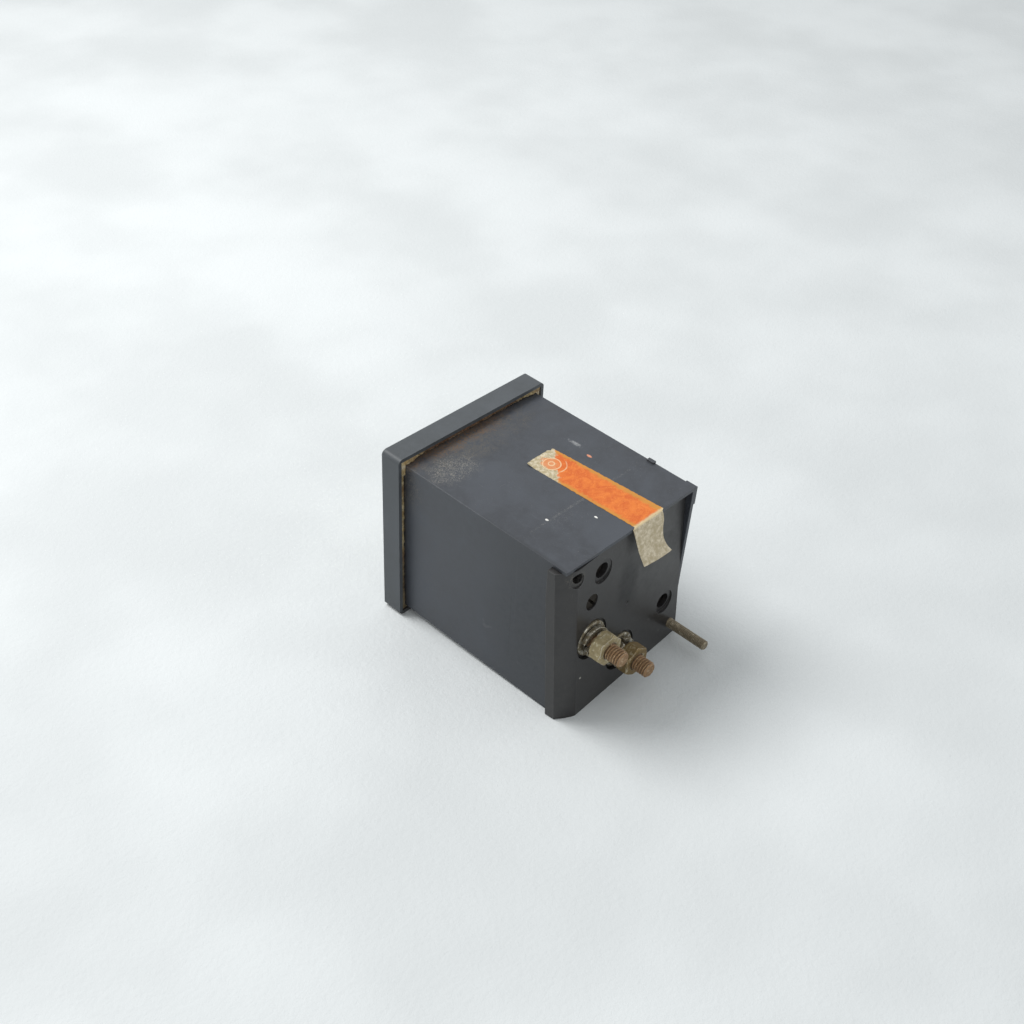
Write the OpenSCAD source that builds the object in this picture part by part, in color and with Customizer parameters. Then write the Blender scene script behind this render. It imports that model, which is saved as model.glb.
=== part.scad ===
// Panel meter, 48 mm square, 90 degree quadrant scale.
// Front faces -Y, terminals face +Y, Z is up. The origin is the centre of the
// rear rim of the bezel, the face that seats on the panel.

/* [Bezel] */
// Side of the square bezel
bezel_w = 48; // [46.5:0.1:52]
// Depth of the bezel in front of the panel
bezel_depth = 5.7; // [5.4:0.1:8]
// Wall of the bezel skirt
bezel_wall = 0.95; // [0.8:0.05:1.2]
// Thickness of the bezel front frame
bezel_face = 1.2; // [1:0.1:1.6]
// Visible width of the front frame
frame_w = 3.4; // [2.6:0.1:4]
// Outer corner radius of the bezel
bezel_r = 1.3; // [0.6:0.1:2.5]
// Radius of the corner web that carries the zero screw
web_r = 16.5; // [15:0.1:18]
// Distance of the zero screw from the two bezel sides beside it
zero_edge = 9.9; // [9.4:0.05:10.1]
// Thickness of the window
window_t = 1.5; // [1.2:0.1:1.8]
// Width of the chamfer round the window opening
bezel_chamfer = 0.7; // [0.3:0.1:0.9]

/* [Case] */
// How far each upright side of the case lies inside the bezel
case_step = 2.3; // [1.8:0.05:2.5]
// How far the top and the bottom of the case lie inside the bezel, on average
case_step_z = 2.2; // [1.8:0.05:2.4]
// How far the case centre lies below the bezel centre
body_drop = 0.24; // [0:0.02:0.3]
// Length of the case behind the panel
case_len = 50.2; // [49:0.1:58]
// Wall of the case sleeve
case_wall = 0.9; // [0.7:0.05:1.1]
// Thickness of the case flange in the bezel
flange_t = 1.3; // [1:0.1:1.6]
// Slope of the rear rim of the sleeve, in degrees
rim_slope = 1.3; // [0:0.1:2]
// Width of the cement bead on the groove floor
bead_w = 1; // [0.6:0.05:1.2]
// Height of the cement bead on the groove floor
bead_t = 1; // [0.3:0.05:1.2]
// How far the small corner pad stands out of the side of the case
pad_proud = 0.7; // [0.4:0.1:1]
// Length of the small corner pad along the case
pad_len = 3.2; // [2.5:0.1:4]
// Height of the small corner pad
pad_h = 5; // [4:0.1:6]

/* [Rear cover] */
// Depth of the rear cover seen outside the sleeve
cover_depth = 4.3; // [4:0.1:6]
// How far the rear cover stands proud at the side
cover_proud = 1.05; // [0.5:0.05:1.4]
// Lean of the rear face about Z, in degrees
cover_turn = 3.6; // [0:0.1:4]
// Lean of the rear face about X, in degrees
cover_tip = 3.9; // [0:0.1:4.2]
// How far the rear face lies behind the sleeve at its centre
cover_stand = 0.65; // [0.5:0.05:1.5]
// Width of the bevel on the upright rear edge of the cover
bevel_w = 4.4; // [3.6:0.1:4.8]
// Depth of the bevel on the upright rear edge of the cover
bevel_d = 2.9; // [2.2:0.1:3.4]
// How much the bevel bulges, where 1 is flat
bevel_bulge = 1.3; // [1:0.05:1.6]
// Depth of the proud side of the cover behind the sleeve
side_lip = 5.4; // [5:0.1:5.8]
// Depth of the rim of the cover inside the sleeve
cover_rim = 3; // [2:0.1:4]
// Wall of the rim of the cover inside the sleeve
cover_rim_wall = 1.1; // [0.9:0.1:1.4]
// Clearance of the cover in the sleeve
cover_fit = 0.05; // [0.03:0.01:0.1]

/* [Terminals] */
// Diameter of the terminal studs
stud_d = 4; // [3.5:0.1:4.2]
// Distance of a terminal from the case side beside it
term_edge = 8.8; // [8.5:0.1:9.2]
// Distance of a terminal from the centre, along its near side
term_near = 2.2; // [1.8:0.1:2.6]
// Length of a terminal stud behind its seat
term_len = 10.4; // [9.5:0.1:12]
// Length of a terminal stud in front of the cover plate
term_in = 6.5; // [6:0.1:8]
// Diameter of the seat cut for the washer
seat_d = 10.4; // [9.8:0.1:10.8]
// Diameter of the flat washers
washer_d = 9; // [8.4:0.1:9.4]
// Thickness of the flat washers
washer_t = 0.9; // [0.7:0.05:1.1]
// Diameter of the spring washers
spring_d = 7.6; // [7:0.1:7.9]
// Thickness of the spring washers
spring_t = 1.1; // [0.8:0.05:1.3]
// Rise of the open spring washers
spring_rise = 1.1; // [0.4:0.1:1.3]
// Width across the flats of the terminal nuts
nut_af = 7; // [6.5:0.1:7.2]
// Thickness of the terminal nuts
nut_t = 3.3; // [2.8:0.1:3.5]
// Thickness of the lock nuts inside
lock_nut_t = 2.2; // [1.8:0.1:2.4]
// Diameter of the mounting stud
mount_d = 2.5; // [2.2:0.1:3]
// Distance of the mounting stud from the case sides
mount_edge = 3.8; // [3.7:0.05:4.1]
// Exposed length of the mounting stud
mount_len = 11.4; // [9:0.1:14]
// Diameter of the recess worn round the empty stud hole
chip_d = 3.8; // [3.4:0.1:4.2]
// Clearance of a stud or a screw in its hole
hole_fit = 0.05; // [0.03:0.01:0.08]

/* [Rear screws] */
// Distance of the two deep screws from the case side beside them
deep_edge = 6.6; // [6.4:0.1:6.9]
// Distance of the two deep screws from the next case side
deep_edge_2 = 12.1; // [11.8:0.1:12.3]
// Diameter of the deep screw holes
deep_d = 4; // [3.8:0.1:4.4]
// Diameter of the shallow ring round a deep screw hole
ring_d = 6.3; // [5.6:0.1:6.6]
// Depth of the deep screw holes below the case rim
deep_depth = 2.6; // [2:0.1:2.9]
// Distance of the slotted screw from the case side
slot_edge = 8.4; // [8.2:0.1:8.6]
// Distance of the slotted screw from the top of the case
slot_edge_2 = 13; // [12.8:0.1:13.4]
// Diameter of the slotted screw head
slot_head_d = 3.9; // [3.7:0.1:4.2]
// Diameter of the screw shanks
shank_d = 2; // [1.6:0.1:2.4]
// Width of the screw slots
slot_w = 0.7; // [0.5:0.05:0.9]
// Diameter of the pillars behind the movement plate
pillar_d = 5.4; // [5:0.1:5.8]

/* [Movement] */
// Distance of the pivot from the case sides
pivot_edge = 11.2; // [11.1:0.1:11.3]
// Outer diameter of the yoke ring
yoke_od = 18; // [17.6:0.1:18.6]
// Inner diameter of the yoke ring
yoke_id = 13; // [12.8:0.1:13.2]
// Length of the yoke ring
yoke_len = 10; // [9.4:0.1:11]
// Diameter of the core magnet
core_d = 9.5; // [9:0.1:9.6]
// Gap between the core and the coil former
core_gap = 0.4; // [0.35:0.05:0.45]
// Thickness of the coil former
former_t = 0.25; // [0.2:0.01:0.3]
// Thickness of the coil winding
winding_t = 0.5; // [0.35:0.05:0.55]
// Width of the coil
coil_w = 2.4; // [2:0.1:2.6]
// Diameter of the pivot pins
pin_d = 0.8; // [0.7:0.05:1]
// Running clearance of a pivot pin in its jewel
pivot_fit = 0.05; // [0.03:0.01:0.08]
// Diameter of the jewel screws
jewel_d = 2.4; // [2.2:0.1:2.6]
// Thickness of the bridges
bridge_t = 1.2; // [1:0.1:1.4]
// Width of the bridges
bridge_w = 4.2; // [4:0.1:4.6]
// Height of the front bridge behind the panel face
bridge_y = 1.2; // [1.1:0.1:1.6]
// Diameter of the small pillars of the movement
post_d = 2.3; // [2:0.1:2.4]
// Turns of a hairspring
hair_turns = 4; // [3:1:5]
// Height of a hairspring strip
hair_h = 0.3; // [0.2:0.05:0.35]
// Thickness of a hairspring strip
hair_t = 0.12; // [0.08:0.01:0.15]
// Thickness of the movement plate
plate_t = 1.5; // [1.2:0.1:2]
// Distance between the yoke and the movement plate
plate_gap = 6.5; // [6.2:0.1:8]

/* [Scale and pointer] */
// Gap between the dial plate and the case walls
dial_gap = 0.5; // [0.35:0.05:1]
// Thickness of the dial plate
dial_t = 0.4; // [0.3:0.05:0.6]
// Height of the dial face behind the panel face
dial_y = 1.4; // [1.2:0.1:1.8]
// Radius of the cut in the dial round the movement
dial_cut_r = 11.6; // [11.2:0.1:12]
// Length of the pointer from the pivot to its tip
pointer_len = 27; // [24:0.1:27.4]
// Width of the pointer blade at its root
pointer_w = 1.2; // [0.8:0.1:1.6]
// Thickness of the pointer sheet
pointer_t = 0.35; // [0.3:0.05:0.5]
// Distance of the dial pillars from the case sides
dial_post_edge = 4.3; // [4.1:0.1:4.5]
// Diameter of the dial pillars
dial_post_d = 3.6; // [3:0.1:4]

/* [Zero adjustment] */
// Diameter of the head of the zero screw
zero_head_d = 4.6; // [4.2:0.1:4.8]
// Throw of the eccentric pin of the zero screw
zero_throw = 1; // [0.8:0.05:1.1]
// Diameter of the eccentric pin
zero_pin_d = 1; // [0.8:0.1:1.1]
// Running clearance of the zero screw in the bezel
zero_fit = 0.05; // [0.03:0.01:0.08]

/* [Resistor] */
// Length of the resistor bobbin
bobbin_len = 12; // [10:0.5:14]
// Diameter of the bobbin core
bobbin_core_d = 5; // [4:0.1:6]
// Diameter of the bobbin flanges
bobbin_d = 9; // [8.5:0.1:9.5]
// Thickness of a bobbin flange
bobbin_flange_t = 1; // [0.8:0.1:1.2]
// Diameter of the resistor winding
bobbin_wire_d = 8; // [6.5:0.1:8.3]
// Distance of the bobbin from the case side
bobbin_edge = 13.7; // [13:0.1:14.5]
// Distance of the bobbin from the top of the case
bobbin_edge_2 = 14.7; // [14:0.1:15.5]
// Diameter of the lead wires over their sleeves
lead_d = 0.9; // [0.7:0.1:1.1]

/* [Label] */
// Distance of the front end of the label from the panel face
label_y = 17.5; // [15:0.5:20]
// Width of the label at its front end
label_w = 8.9; // [8:0.1:9.5]
// Width of the label at the rear edge
label_w_2 = 9.8; // [9:0.1:10.5]
// Distance of the front end of the label from the centre line
label_x = 0.8; // [-0.5:0.1:2]
// Sideways shift of the label at the rear edge
label_shift = 1.2; // [0.6:0.1:1.6]
// Thickness of the label
label_t = 0.15; // [0.1:0.05:0.2]

/* [Hidden] */
$fn = 48;
eps = 0.02;
gap = 0.05;

body_w = bezel_w - 2 * case_step;
body_h = bezel_w - 2 * case_step_z;
half_w = body_w / 2;
reach = 3 * bezel_w;
zero_off = bezel_w / 2 - zero_edge;
term_far = half_w - term_edge;
mount_off = half_w - mount_edge;
deep_far = half_w - deep_edge;
deep_near = half_w - deep_edge_2;
slot_x = half_w - slot_edge;
slot_z = half_w - slot_edge_2;
pivot_off = half_w - pivot_edge;
dial_post_off = half_w - dial_post_edge;
bobbin_x = bobbin_edge - half_w;
bobbin_z = half_w - bobbin_edge_2;
skirt_in = bezel_w - 2 * bezel_wall;
opening = bezel_w - 2 * frame_w;
window_y = bezel_face - bezel_depth;
flange_y = window_y + window_t;
body_top = body_h / 2 - body_drop;
body_bottom = -body_h / 2 - body_drop;
sleeve_in_w = body_w - 2 * case_wall;
sleeve_in_h = body_h - 2 * case_wall;
dial_w = sleeve_in_w - 2 * dial_gap;
cover_in_y = case_len - cover_depth;
cover_mid_y = case_len + cover_stand;
side_y = cover_mid_y + tan(cover_turn) * body_w / 2 - side_lip;
seat_y = case_len + 0.7;
nut_y = seat_y + washer_t + spring_t + spring_rise;
relief_len = 0.6;
plug_w = sleeve_in_w - 2 * cover_fit;
plug_h = sleeve_in_h - 2 * cover_fit;

pivot = [pivot_off, 0, -pivot_off];
zero_arm = sqrt(2) * (zero_off - pivot_off);
yoke_y = bridge_y + bridge_t + 4.6;
yoke_end = yoke_y + yoke_len;
post_r = (yoke_id + yoke_od) / 4;
core_in = 0.4;
core_len = yoke_len - 2 * core_in;
coil_in_r = core_d / 2 + core_gap;
coil_gap = 0.6;
former_y = yoke_y + core_in - coil_gap - former_t;
former_end = yoke_end - core_in + coil_gap + former_t;
coil_y = former_y - winding_t;
coil_end = former_end + winding_t;
base_t = 0.4;
jewel_out = 0.3;
jewel_bore = 0.8;
front_jewel_end = bridge_y + bridge_t + jewel_out;
rear_bridge_y = coil_end + base_t + 2.1;
rear_jewel_end = rear_bridge_y - jewel_out - 0.2;
collet_r = pin_d / 2 + 0.5;
hair_out_r = 4.4;
hair_gap = 0.15;
front_hair_y = front_jewel_end + hair_gap;
rear_hair_y = rear_jewel_end - hair_gap - hair_h;
hub_y = front_hair_y + hair_h + 0.35;
hub_t = 0.8;
hub_r = 1.8;
riser_r = 7;
pointer_y = flange_y + 2.4;
plate_y = yoke_end + plate_gap;
plate_end = plate_y + plate_t;
access_r = 3;
boss_r = 2.2;
boss_len = 0.9;
lever_t = 0.75;
lever_y = bridge_y - gap - lever_t;
lever_r = boss_r + 1.2;
zero_retainer_y = window_y + gap;
zero_retainer_t = 0.8;
deep_y = case_len - deep_depth;
slot_head_t = 1.6;
slot_floor = case_len - 1.1;
terminals = [[term_far, -term_near], [term_near, -term_far]];
deep_holes = [[deep_near, deep_far], [-deep_far, -deep_near]];
pillar_spots = concat(deep_holes, [[slot_x, slot_z]]);
mounts_xy = [[-mount_off, -mount_off], [mount_off, mount_off]];
dial_posts = [[-dial_post_off, -dial_post_off], [dial_post_off, dial_post_off]];

// A round bar along +Y that starts at y.
module ycyl(d, y, len, x = 0, z = 0, fn = 48)
    translate([x, y, z]) rotate([-90, 0, 0]) cylinder(d = d, h = len, $fn = fn);

// A round bar along +Y that changes from one diameter to another.
module ycone(d1, d2, y, len, x = 0, z = 0, fn = 48)
    translate([x, y, z]) rotate([-90, 0, 0]) cylinder(d1 = d1, d2 = d2, h = len, $fn = fn);

// A box centred on the Y axis.
module ybox(w, h, y, len, x = 0, z = 0)
    translate([x - w / 2, y, z - h / 2]) cube([w, len, h]);

// A square bar along +Y with round long edges.
module yround(w, h, r, y, len, z = 0)
    translate([0, y, z]) rotate([-90, 0, 0]) linear_extrude(len) {
        square([w - 2 * r, h], center = true);
        square([w, h - 2 * r], center = true);
        for (sx = [-1, 1], sy = [-1, 1])
            translate([sx * (w / 2 - r), sy * (h / 2 - r)]) circle(r);
    }

// Places its children in the frame of the pivot: X along the angle, Y along the axis.
module at_pivot(angle = 0) translate(pivot) rotate([0, -angle, 0]) children();

// A hexagon nut with both faces chamfered.
module hex_nut(af, bore, t) {
    corner = af / cos(30);
    difference() {
        intersection() {
            rotate([-90, 0, 0]) cylinder(d = corner, h = t, $fn = 6);
            rotate([-90, 0, 0]) rotate_extrude($fn = 48)
                polygon([[0, 0], [af / 2, 0], [corner / 2 + 0.1, 0.35], [corner / 2 + 0.1, t - 0.35],
                    [af / 2, t], [0, t]]);
        }
        rotate([-90, 0, 0]) translate([0, 0, -1]) cylinder(d = bore, h = t + 2, $fn = 48);
    }
}

// A screw with a slotted cylinder head, pointing along -Y from its head.
module slotted(head_d, head_t, body_d, len, slot_angle = 0) {
    difference() {
        ycyl(head_d, 0, head_t);
        rotate([0, slot_angle, 0]) translate([-head_d, head_t * 0.45, -slot_w / 2])
            cube([2 * head_d, head_t, slot_w]);
    }
    ycyl(body_d, -len, len + eps);
}

// ---------- case ----------

module bezel() color([0.43, 0.45, 0.46]) {
    difference() {
        yround(bezel_w, bezel_w, bezel_r, -bezel_depth, bezel_depth);
        ybox(skirt_in, skirt_in, window_y, bezel_depth);
        difference() {
            union() {
                ybox(opening, opening, -bezel_depth - 1, bezel_face + 2);
                translate([0, -bezel_depth, 0]) rotate([-90, 0, 0]) rotate(45)
                    translate([0, 0, -1]) cylinder(d1 = sqrt(2) * (opening + 2 * bezel_chamfer + 2),
                        d2 = sqrt(2) * (opening - 2), h = bezel_chamfer + 2, $fn = 4);
            }
            translate([opening / 2, 0, -opening / 2])
                ycyl(2 * web_r, -bezel_depth - 2, bezel_face + 4, fn = 96);
        }
        ycyl(zero_head_d + 2 * zero_fit, -bezel_depth - 1, bezel_face + 2, zero_off, -zero_off);
    }
}

module window() color([0.85, 0.88, 0.9, 0.35]) difference() {
    ybox(skirt_in - 4 * gap, skirt_in - 4 * gap, window_y, window_t);
    ycyl(zero_head_d + 2.2, window_y - 1, window_t + 2, zero_off, -zero_off);
}

// Everything on the panel side of the leaning rear rim.
module rim_side() translate([0, case_len, body_top]) rotate([-rim_slope, 0, 0])
    translate([-reach / 2, -reach, -reach / 2]) cube(reach);

module case_sleeve() color([0.33, 0.34, 0.36]) difference() {
    union() {
        ybox(skirt_in - 2 * gap, skirt_in - 2 * gap, flange_y, flange_t);
        intersection() {
            union() {
                ybox(body_w, body_h, flange_y + eps, case_len + 5, z = -body_drop);
                // a small pad at the top rear corner and a nub on the top edge
                translate([-half_w - pad_proud, case_len - pad_len, body_top - pad_h - 0.2])
                    cube([pad_proud + case_wall / 2, pad_len + 1, pad_h]);
                translate([-half_w - 0.25, case_len - 14.2, body_top - 0.6]) cube([1, 2, 1]);
            }
            rim_side();
        }
    }
    ybox(sleeve_in_w, sleeve_in_h, flange_y - 1, reach, z = -body_drop);
    intersection() {
        translate([sleeve_in_w / 2 - 1, cover_in_y, body_bottom - 1])
            cube([case_wall + 2, reach, body_h - case_wall + 1]);
        side_lean() translate([0, 0, -reach / 2]) cube(reach);
    }
    translate([-sleeve_in_w / 2, cover_in_y, body_bottom - 1])
        cube([sleeve_in_w, reach, case_wall + 2]);
}

// Cement that fills the groove at the corners and a thin bead round its floor.
module corner_cement() color([0.66, 0.6, 0.47]) {
    y0 = flange_y + flange_t;
    in_w = body_w + 2 * gap;
    in_h = body_h + 2 * gap;
    out_w = skirt_in - 2 * gap;
    for (c = [[-1, 1, 4.4, 5.4, 0.25], [1, 1, 4.2, 5.2, 0.15], [1, -1, 6.4, 5, 0.5], [-1, -1, 4.6, 4.4, 0.4]])
        intersection() {
            difference() {
                ybox(out_w, out_w, y0 + gap, -y0 - gap - c[4]);
                ybox(in_w, in_h, y0 - 1, 4, z = -body_drop);
            }
            translate([c[0] * out_w / 2, y0, c[1] * out_w / 2]) {
                rotate([-90, 0, 0]) scale([1, 1, 1]) cylinder(r = c[2], h = 4);
                ybox(2 * c[3], 2 * (out_w - body_h) / 2 - 0.4, 0, 4);
            }
        }
    difference() {
        ybox(body_w + 2 * bead_w, body_h + 2 * bead_w, y0 + gap / 2, bead_t, z = -body_drop);
        ybox(in_w, in_h, y0 - 1, 4, z = -body_drop);
        for (c = [[-1, 1, 4.6], [1, 1, 4.4], [1, -1, 6.6], [-1, -1, 4.8]])
            translate([c[0] * out_w / 2, y0 - 1, c[1] * out_w / 2]) {
                rotate([-90, 0, 0]) cylinder(r = c[2], h = 4);
                ybox(12, out_w - body_h, 0, 4);
            }
    }
}

// Places children on the leaning plane where the side of the sleeve ends.
module side_lean(y = 0) translate([0, side_y + y, 0]) rotate([cover_tip, 0, 0]) children();

// The block whose leaning rear face closes the case, with one bevelled upright edge.
module cover_block() {
    side = body_w / 2 + cover_proud;
    bevel = [for (i = [0:8]) [side - bevel_w * (1 - i / 8), -bevel_d * pow(i / 8, bevel_bulge)]];
    translate([0, cover_mid_y, 0]) rotate([cover_tip, 0, cover_turn])
        translate([0, 0, -reach / 2]) linear_extrude(reach)
            polygon(concat([[-reach, -reach], [-reach, 0]], bevel, [[side, -reach]]));
}

module rear_cover() color([0.28, 0.275, 0.27]) difference() {
    union() {
        difference() {
            intersection() {
                cover_block();
                translate([-plug_w / 2, cover_in_y + gap, body_bottom])
                    cube([body_w + 10, 20, body_h - case_wall - cover_fit]);
            }
            side_lean(gap) translate([plug_w / 2, -reach, -reach / 2]) cube(reach);
        }
        difference() {
            ybox(plug_w - 2 * gap, plug_h, cover_in_y - cover_rim, cover_rim + 1, z = -body_drop);
            ybox(plug_w - 2 * cover_rim_wall, plug_h - 2 * cover_rim_wall,
                cover_in_y - cover_rim - 1, cover_rim + 1, z = -body_drop);
        }
    }
    for (t = terminals) {
        ycyl(seat_d, seat_y, 10, t[0], t[1]);
        ycyl(stud_d + 2 * hole_fit, cover_in_y - 5, 20, t[0], t[1]);
    }
    for (m = mounts_xy) ycyl(mount_d + 2 * hole_fit, cover_in_y - 5, 20, m[0], m[1]);
    for (p = deep_holes) {
        ycyl(deep_d, deep_y, 10, p[0], p[1]);
        ycyl(ring_d, case_len - 0.2, 10, p[0], p[1]);
        ycyl(shank_d + 2 * hole_fit, cover_in_y - 5, 20, p[0], p[1]);
    }
    ycyl(slot_head_d + 4 * hole_fit, slot_floor, 10, slot_x, slot_z);
    ycyl(shank_d + 2 * hole_fit, cover_in_y - 5, 20, slot_x, slot_z);
    ycone(0.3, 1.3, cover_mid_y - 0.5, 0.7);
    // a worn recess broken out round the empty corner hole
    translate([mount_off + 0.35, case_len - 0.1, mount_off - 0.3]) rotate([-78, 0, -10])
        cylinder(d = chip_d, h = 5, $fn = 20);
}

module paper_label() color([0.88, 0.5, 0.26]) {
    end_y = case_len + 0.1;
    end_x = label_x - label_shift;
    hull() {
        translate([label_x - label_w, label_y, body_top]) cube([label_w, 0.5, label_t]);
        translate([end_x - label_w_2, end_y - 0.5, body_top]) cube([label_w_2, 0.5, label_t]);
    }
    // the loose end curls down clear of the rear face
    curl = [for (i = [0:8]) [end_y + 3.3 * sin(i * 9.5), body_top + 0.05 - 1.32 * i * (0.25 + 0.094 * i)]];
    for (i = [0:7]) {
        a = curl[i]; b = curl[i + 1];
        wa = label_w_2 - 0.23 * i; wb = label_w_2 - 0.23 * (i + 1);
        translate([end_x - label_w_2 / 2 - 0.12 * i, 0, 0]) rotate([90, 0, 90])
            linear_extrude((wa + wb) / 2, center = true)
            polygon([a, b, b + [0.15, 0.03], a + [0.1, 0.1]]);
    }
}

// ---------- terminals ----------

// A stud with a short thread relief just outside the piece that clamps it.
module relieved_stud(d, y, relief_y, end_y, tip, x, z) {
    ycyl(d, y, relief_y - y, x, z);
    ycyl(d - 0.5, relief_y - eps, relief_len + 2 * eps, x, z);
    ycyl(d, relief_y + relief_len, end_y - tip - relief_y - relief_len, x, z);
    ycone(d, d - 2 * tip, end_y - tip, tip, x, z);
}
module terminal_stud(t) color([0.6, 0.56, 0.48])
    relieved_stud(stud_d, cover_in_y - term_in, nut_y + nut_t + 0.2 - relief_len, seat_y + term_len, 0.4, t[0], t[1]);
module terminal_stud_positive() terminal_stud(terminals[0]);
module terminal_stud_negative() terminal_stud(terminals[1]);

module flat_washers() color([0.66, 0.64, 0.58])
    for (t = terminals) difference() {
        ycyl(washer_d, seat_y, washer_t, t[0], t[1]);
        ycyl(stud_d + 0.3, seat_y - 1, washer_t + 2, t[0], t[1]);
    }

// A split ring swept along a shallow helix.
module spring_ring(r_in, r_out, t, rise, turn) {
    n = 28;
    sweep = 342;
    pts = [for (i = [0:n]) let (a = turn + sweep * i / n, y = rise * i / n)
        for (q = [[r_in, y], [r_out, y], [r_out, y + t], [r_in, y + t]])
            [q[0] * cos(a), q[1], q[0] * sin(a)]];
    sides = [for (i = [0:n - 1], k = [0:3]) let (j = (k + 1) % 4)
        [4 * i + k, 4 * i + j, 4 * i + 4 + j, 4 * i + 4 + k]];
    polyhedron(pts, concat([[3, 2, 1, 0]], sides, [[4 * n, 4 * n + 1, 4 * n + 2, 4 * n + 3]]), convexity = 6);
}

module spring_washers() color([0.7, 0.69, 0.64])
    for (k = [0, 1]) translate([terminals[k][0], seat_y + washer_t, terminals[k][1]])
        spring_ring(stud_d / 2 + 0.15, spring_d / 2, spring_t, spring_rise, [16, 95][k]);

module terminal_nuts() color([0.62, 0.58, 0.48])
    for (k = [0, 1]) translate([terminals[k][0], nut_y, terminals[k][1]])
        rotate([0, [12, 27][k], 0]) hex_nut(nut_af, stud_d + 2 * eps, nut_t);

module solder_lugs() color([0.72, 0.66, 0.45])
    for (t = terminals) difference() {
        union() {
            ycyl(nut_af + 0.6, cover_in_y - 0.6, 0.6, t[0], t[1]);
            translate([t[0] - 7.4, cover_in_y - 0.6, t[1] - 1.3]) cube([7.4, 0.6, 2.6]);
        }
        ycyl(stud_d + 0.2, cover_in_y - 2, 4, t[0], t[1]);
    }

module lock_nuts() color([0.7, 0.62, 0.4])
    for (t = terminals) translate([t[0], cover_in_y - 0.6 - lock_nut_t, t[1]])
        hex_nut(nut_af, stud_d + 2 * eps, lock_nut_t);

module mounting_stud() color([0.42, 0.4, 0.36]) {
    m = mounts_xy[0];
    relieved_stud(mount_d, cover_in_y - 3, seat_y - 0.05, seat_y + mount_len, 0.3, m[0], m[1]);
}

// ---------- screws and pillars behind the movement plate ----------

module deep_screws() color([0.4, 0.39, 0.37])
    for (p = deep_holes) translate([p[0], deep_y, p[1]])
        slotted(deep_d - 0.6, 1, shank_d, deep_y - cover_in_y + 5, 35);

module slotted_screw() color([0.33, 0.32, 0.31])
    translate([slot_x, slot_floor, slot_z])
        slotted(slot_head_d, slot_head_t, shank_d, slot_floor - cover_in_y + 5, -52);

module rear_pillars() color([0.74, 0.67, 0.46])
    for (p = pillar_spots) difference() {
        ycyl(pillar_d, plate_end, cover_in_y - plate_end, p[0], p[1]);
        ycyl(shank_d + 2 * eps, cover_in_y - 6, 8, p[0], p[1]);
    }

module movement_plate() color([0.42, 0.28, 0.16]) difference() {
    ybox(plug_w - 0.4, plug_h - 0.4, plate_y, plate_t, z = -body_drop);
    at_pivot() ycyl(2 * jewel_d + 0.2, plate_y - 1, plate_t + 2);
    ycyl(2 * access_r, plate_y - 1, plate_t + 2, -4, body_h / 2 - access_r - 2.8);
}

// ---------- magnet system ----------

module yoke_ring() color([0.55, 0.56, 0.58]) at_pivot() difference() {
    ycyl(yoke_od, yoke_y, yoke_len, fn = 96);
    ycyl(yoke_id, yoke_y - 1, yoke_len + 2, fn = 96);
}

module core_magnet() color([0.36, 0.37, 0.4]) at_pivot()
    ycyl(core_d, yoke_y + core_in, core_len, fn = 96);

module core_spacers() color([0.78, 0.7, 0.42])
    for (a = [45, 225]) at_pivot(a) translate([0, yoke_y + core_in, 0]) rotate([-90, 0, 0])
        rotate([0, 0, -18]) rotate_extrude(angle = 36, $fn = 96)
            translate([core_d / 2 + eps, 0]) square([(yoke_id - core_d) / 2 - 2 * eps, core_len]);

module yoke_pillars() color([0.74, 0.67, 0.46])
    for (a = [135, 315]) at_pivot(a) ycyl(post_d, yoke_end, plate_gap, post_r);

module bridge_bar(y) {
    at_pivot(45) {
        ybox(2 * post_r, bridge_w - 1, y, bridge_t);
        for (s = [-1, 1]) ycyl(bridge_w - 1, y, bridge_t, s * post_r);
        ycyl(bridge_w + 1, y, bridge_t);
    }
}

module front_bridge() color([0.72, 0.73, 0.74]) difference() {
    union() {
        bridge_bar(bridge_y);
        at_pivot() ycyl(2 * boss_r, bridge_y - boss_len, boss_len + eps);
    }
    at_pivot() ycyl(jewel_d + 2 * eps, bridge_y - 5, 12);
    for (a = [45, 225]) at_pivot(a) ycyl(1.3, bridge_y - 1, bridge_t + 2, post_r);
}

module rear_bridge() color([0.72, 0.73, 0.74]) difference() {
    bridge_bar(rear_bridge_y);
    at_pivot() ycyl(jewel_d + 2 * eps, rear_bridge_y - 2, 6);
    for (a = [45, 225]) at_pivot(a) ycyl(1.3, rear_bridge_y - 1, bridge_t + 2, post_r);
    at_pivot(135) ybox(0.66, 1.36, rear_bridge_y - 1, bridge_t + 2, hair_out_r + 0.35);
}

module bridge_pillars() color([0.74, 0.67, 0.46])
    for (a = [45, 225]) at_pivot(a) {
        difference() {
            ycyl(post_d, bridge_y + bridge_t, yoke_y - bridge_y - bridge_t, post_r);
            ycyl(1.2 + 2 * eps, bridge_y, yoke_y, post_r);
        }
        difference() {
            ycyl(post_d, yoke_end, rear_bridge_y - yoke_end, post_r);
            ycyl(1.2 + 2 * eps, yoke_end - 1, 20, post_r);
        }
    }

module bridge_screws() color([0.7, 0.7, 0.7])
    for (a = [45, 225]) at_pivot(a) {
        translate([post_r, bridge_y, 0]) rotate([0, 0, 180]) slotted(2.6, 0.8, 1.2, yoke_y - bridge_y - gap, 30);
        translate([post_r, rear_bridge_y + bridge_t, 0])
            slotted(2.6, 0.8, 1.2, rear_bridge_y + bridge_t - yoke_end - gap, 60);
    }

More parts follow.
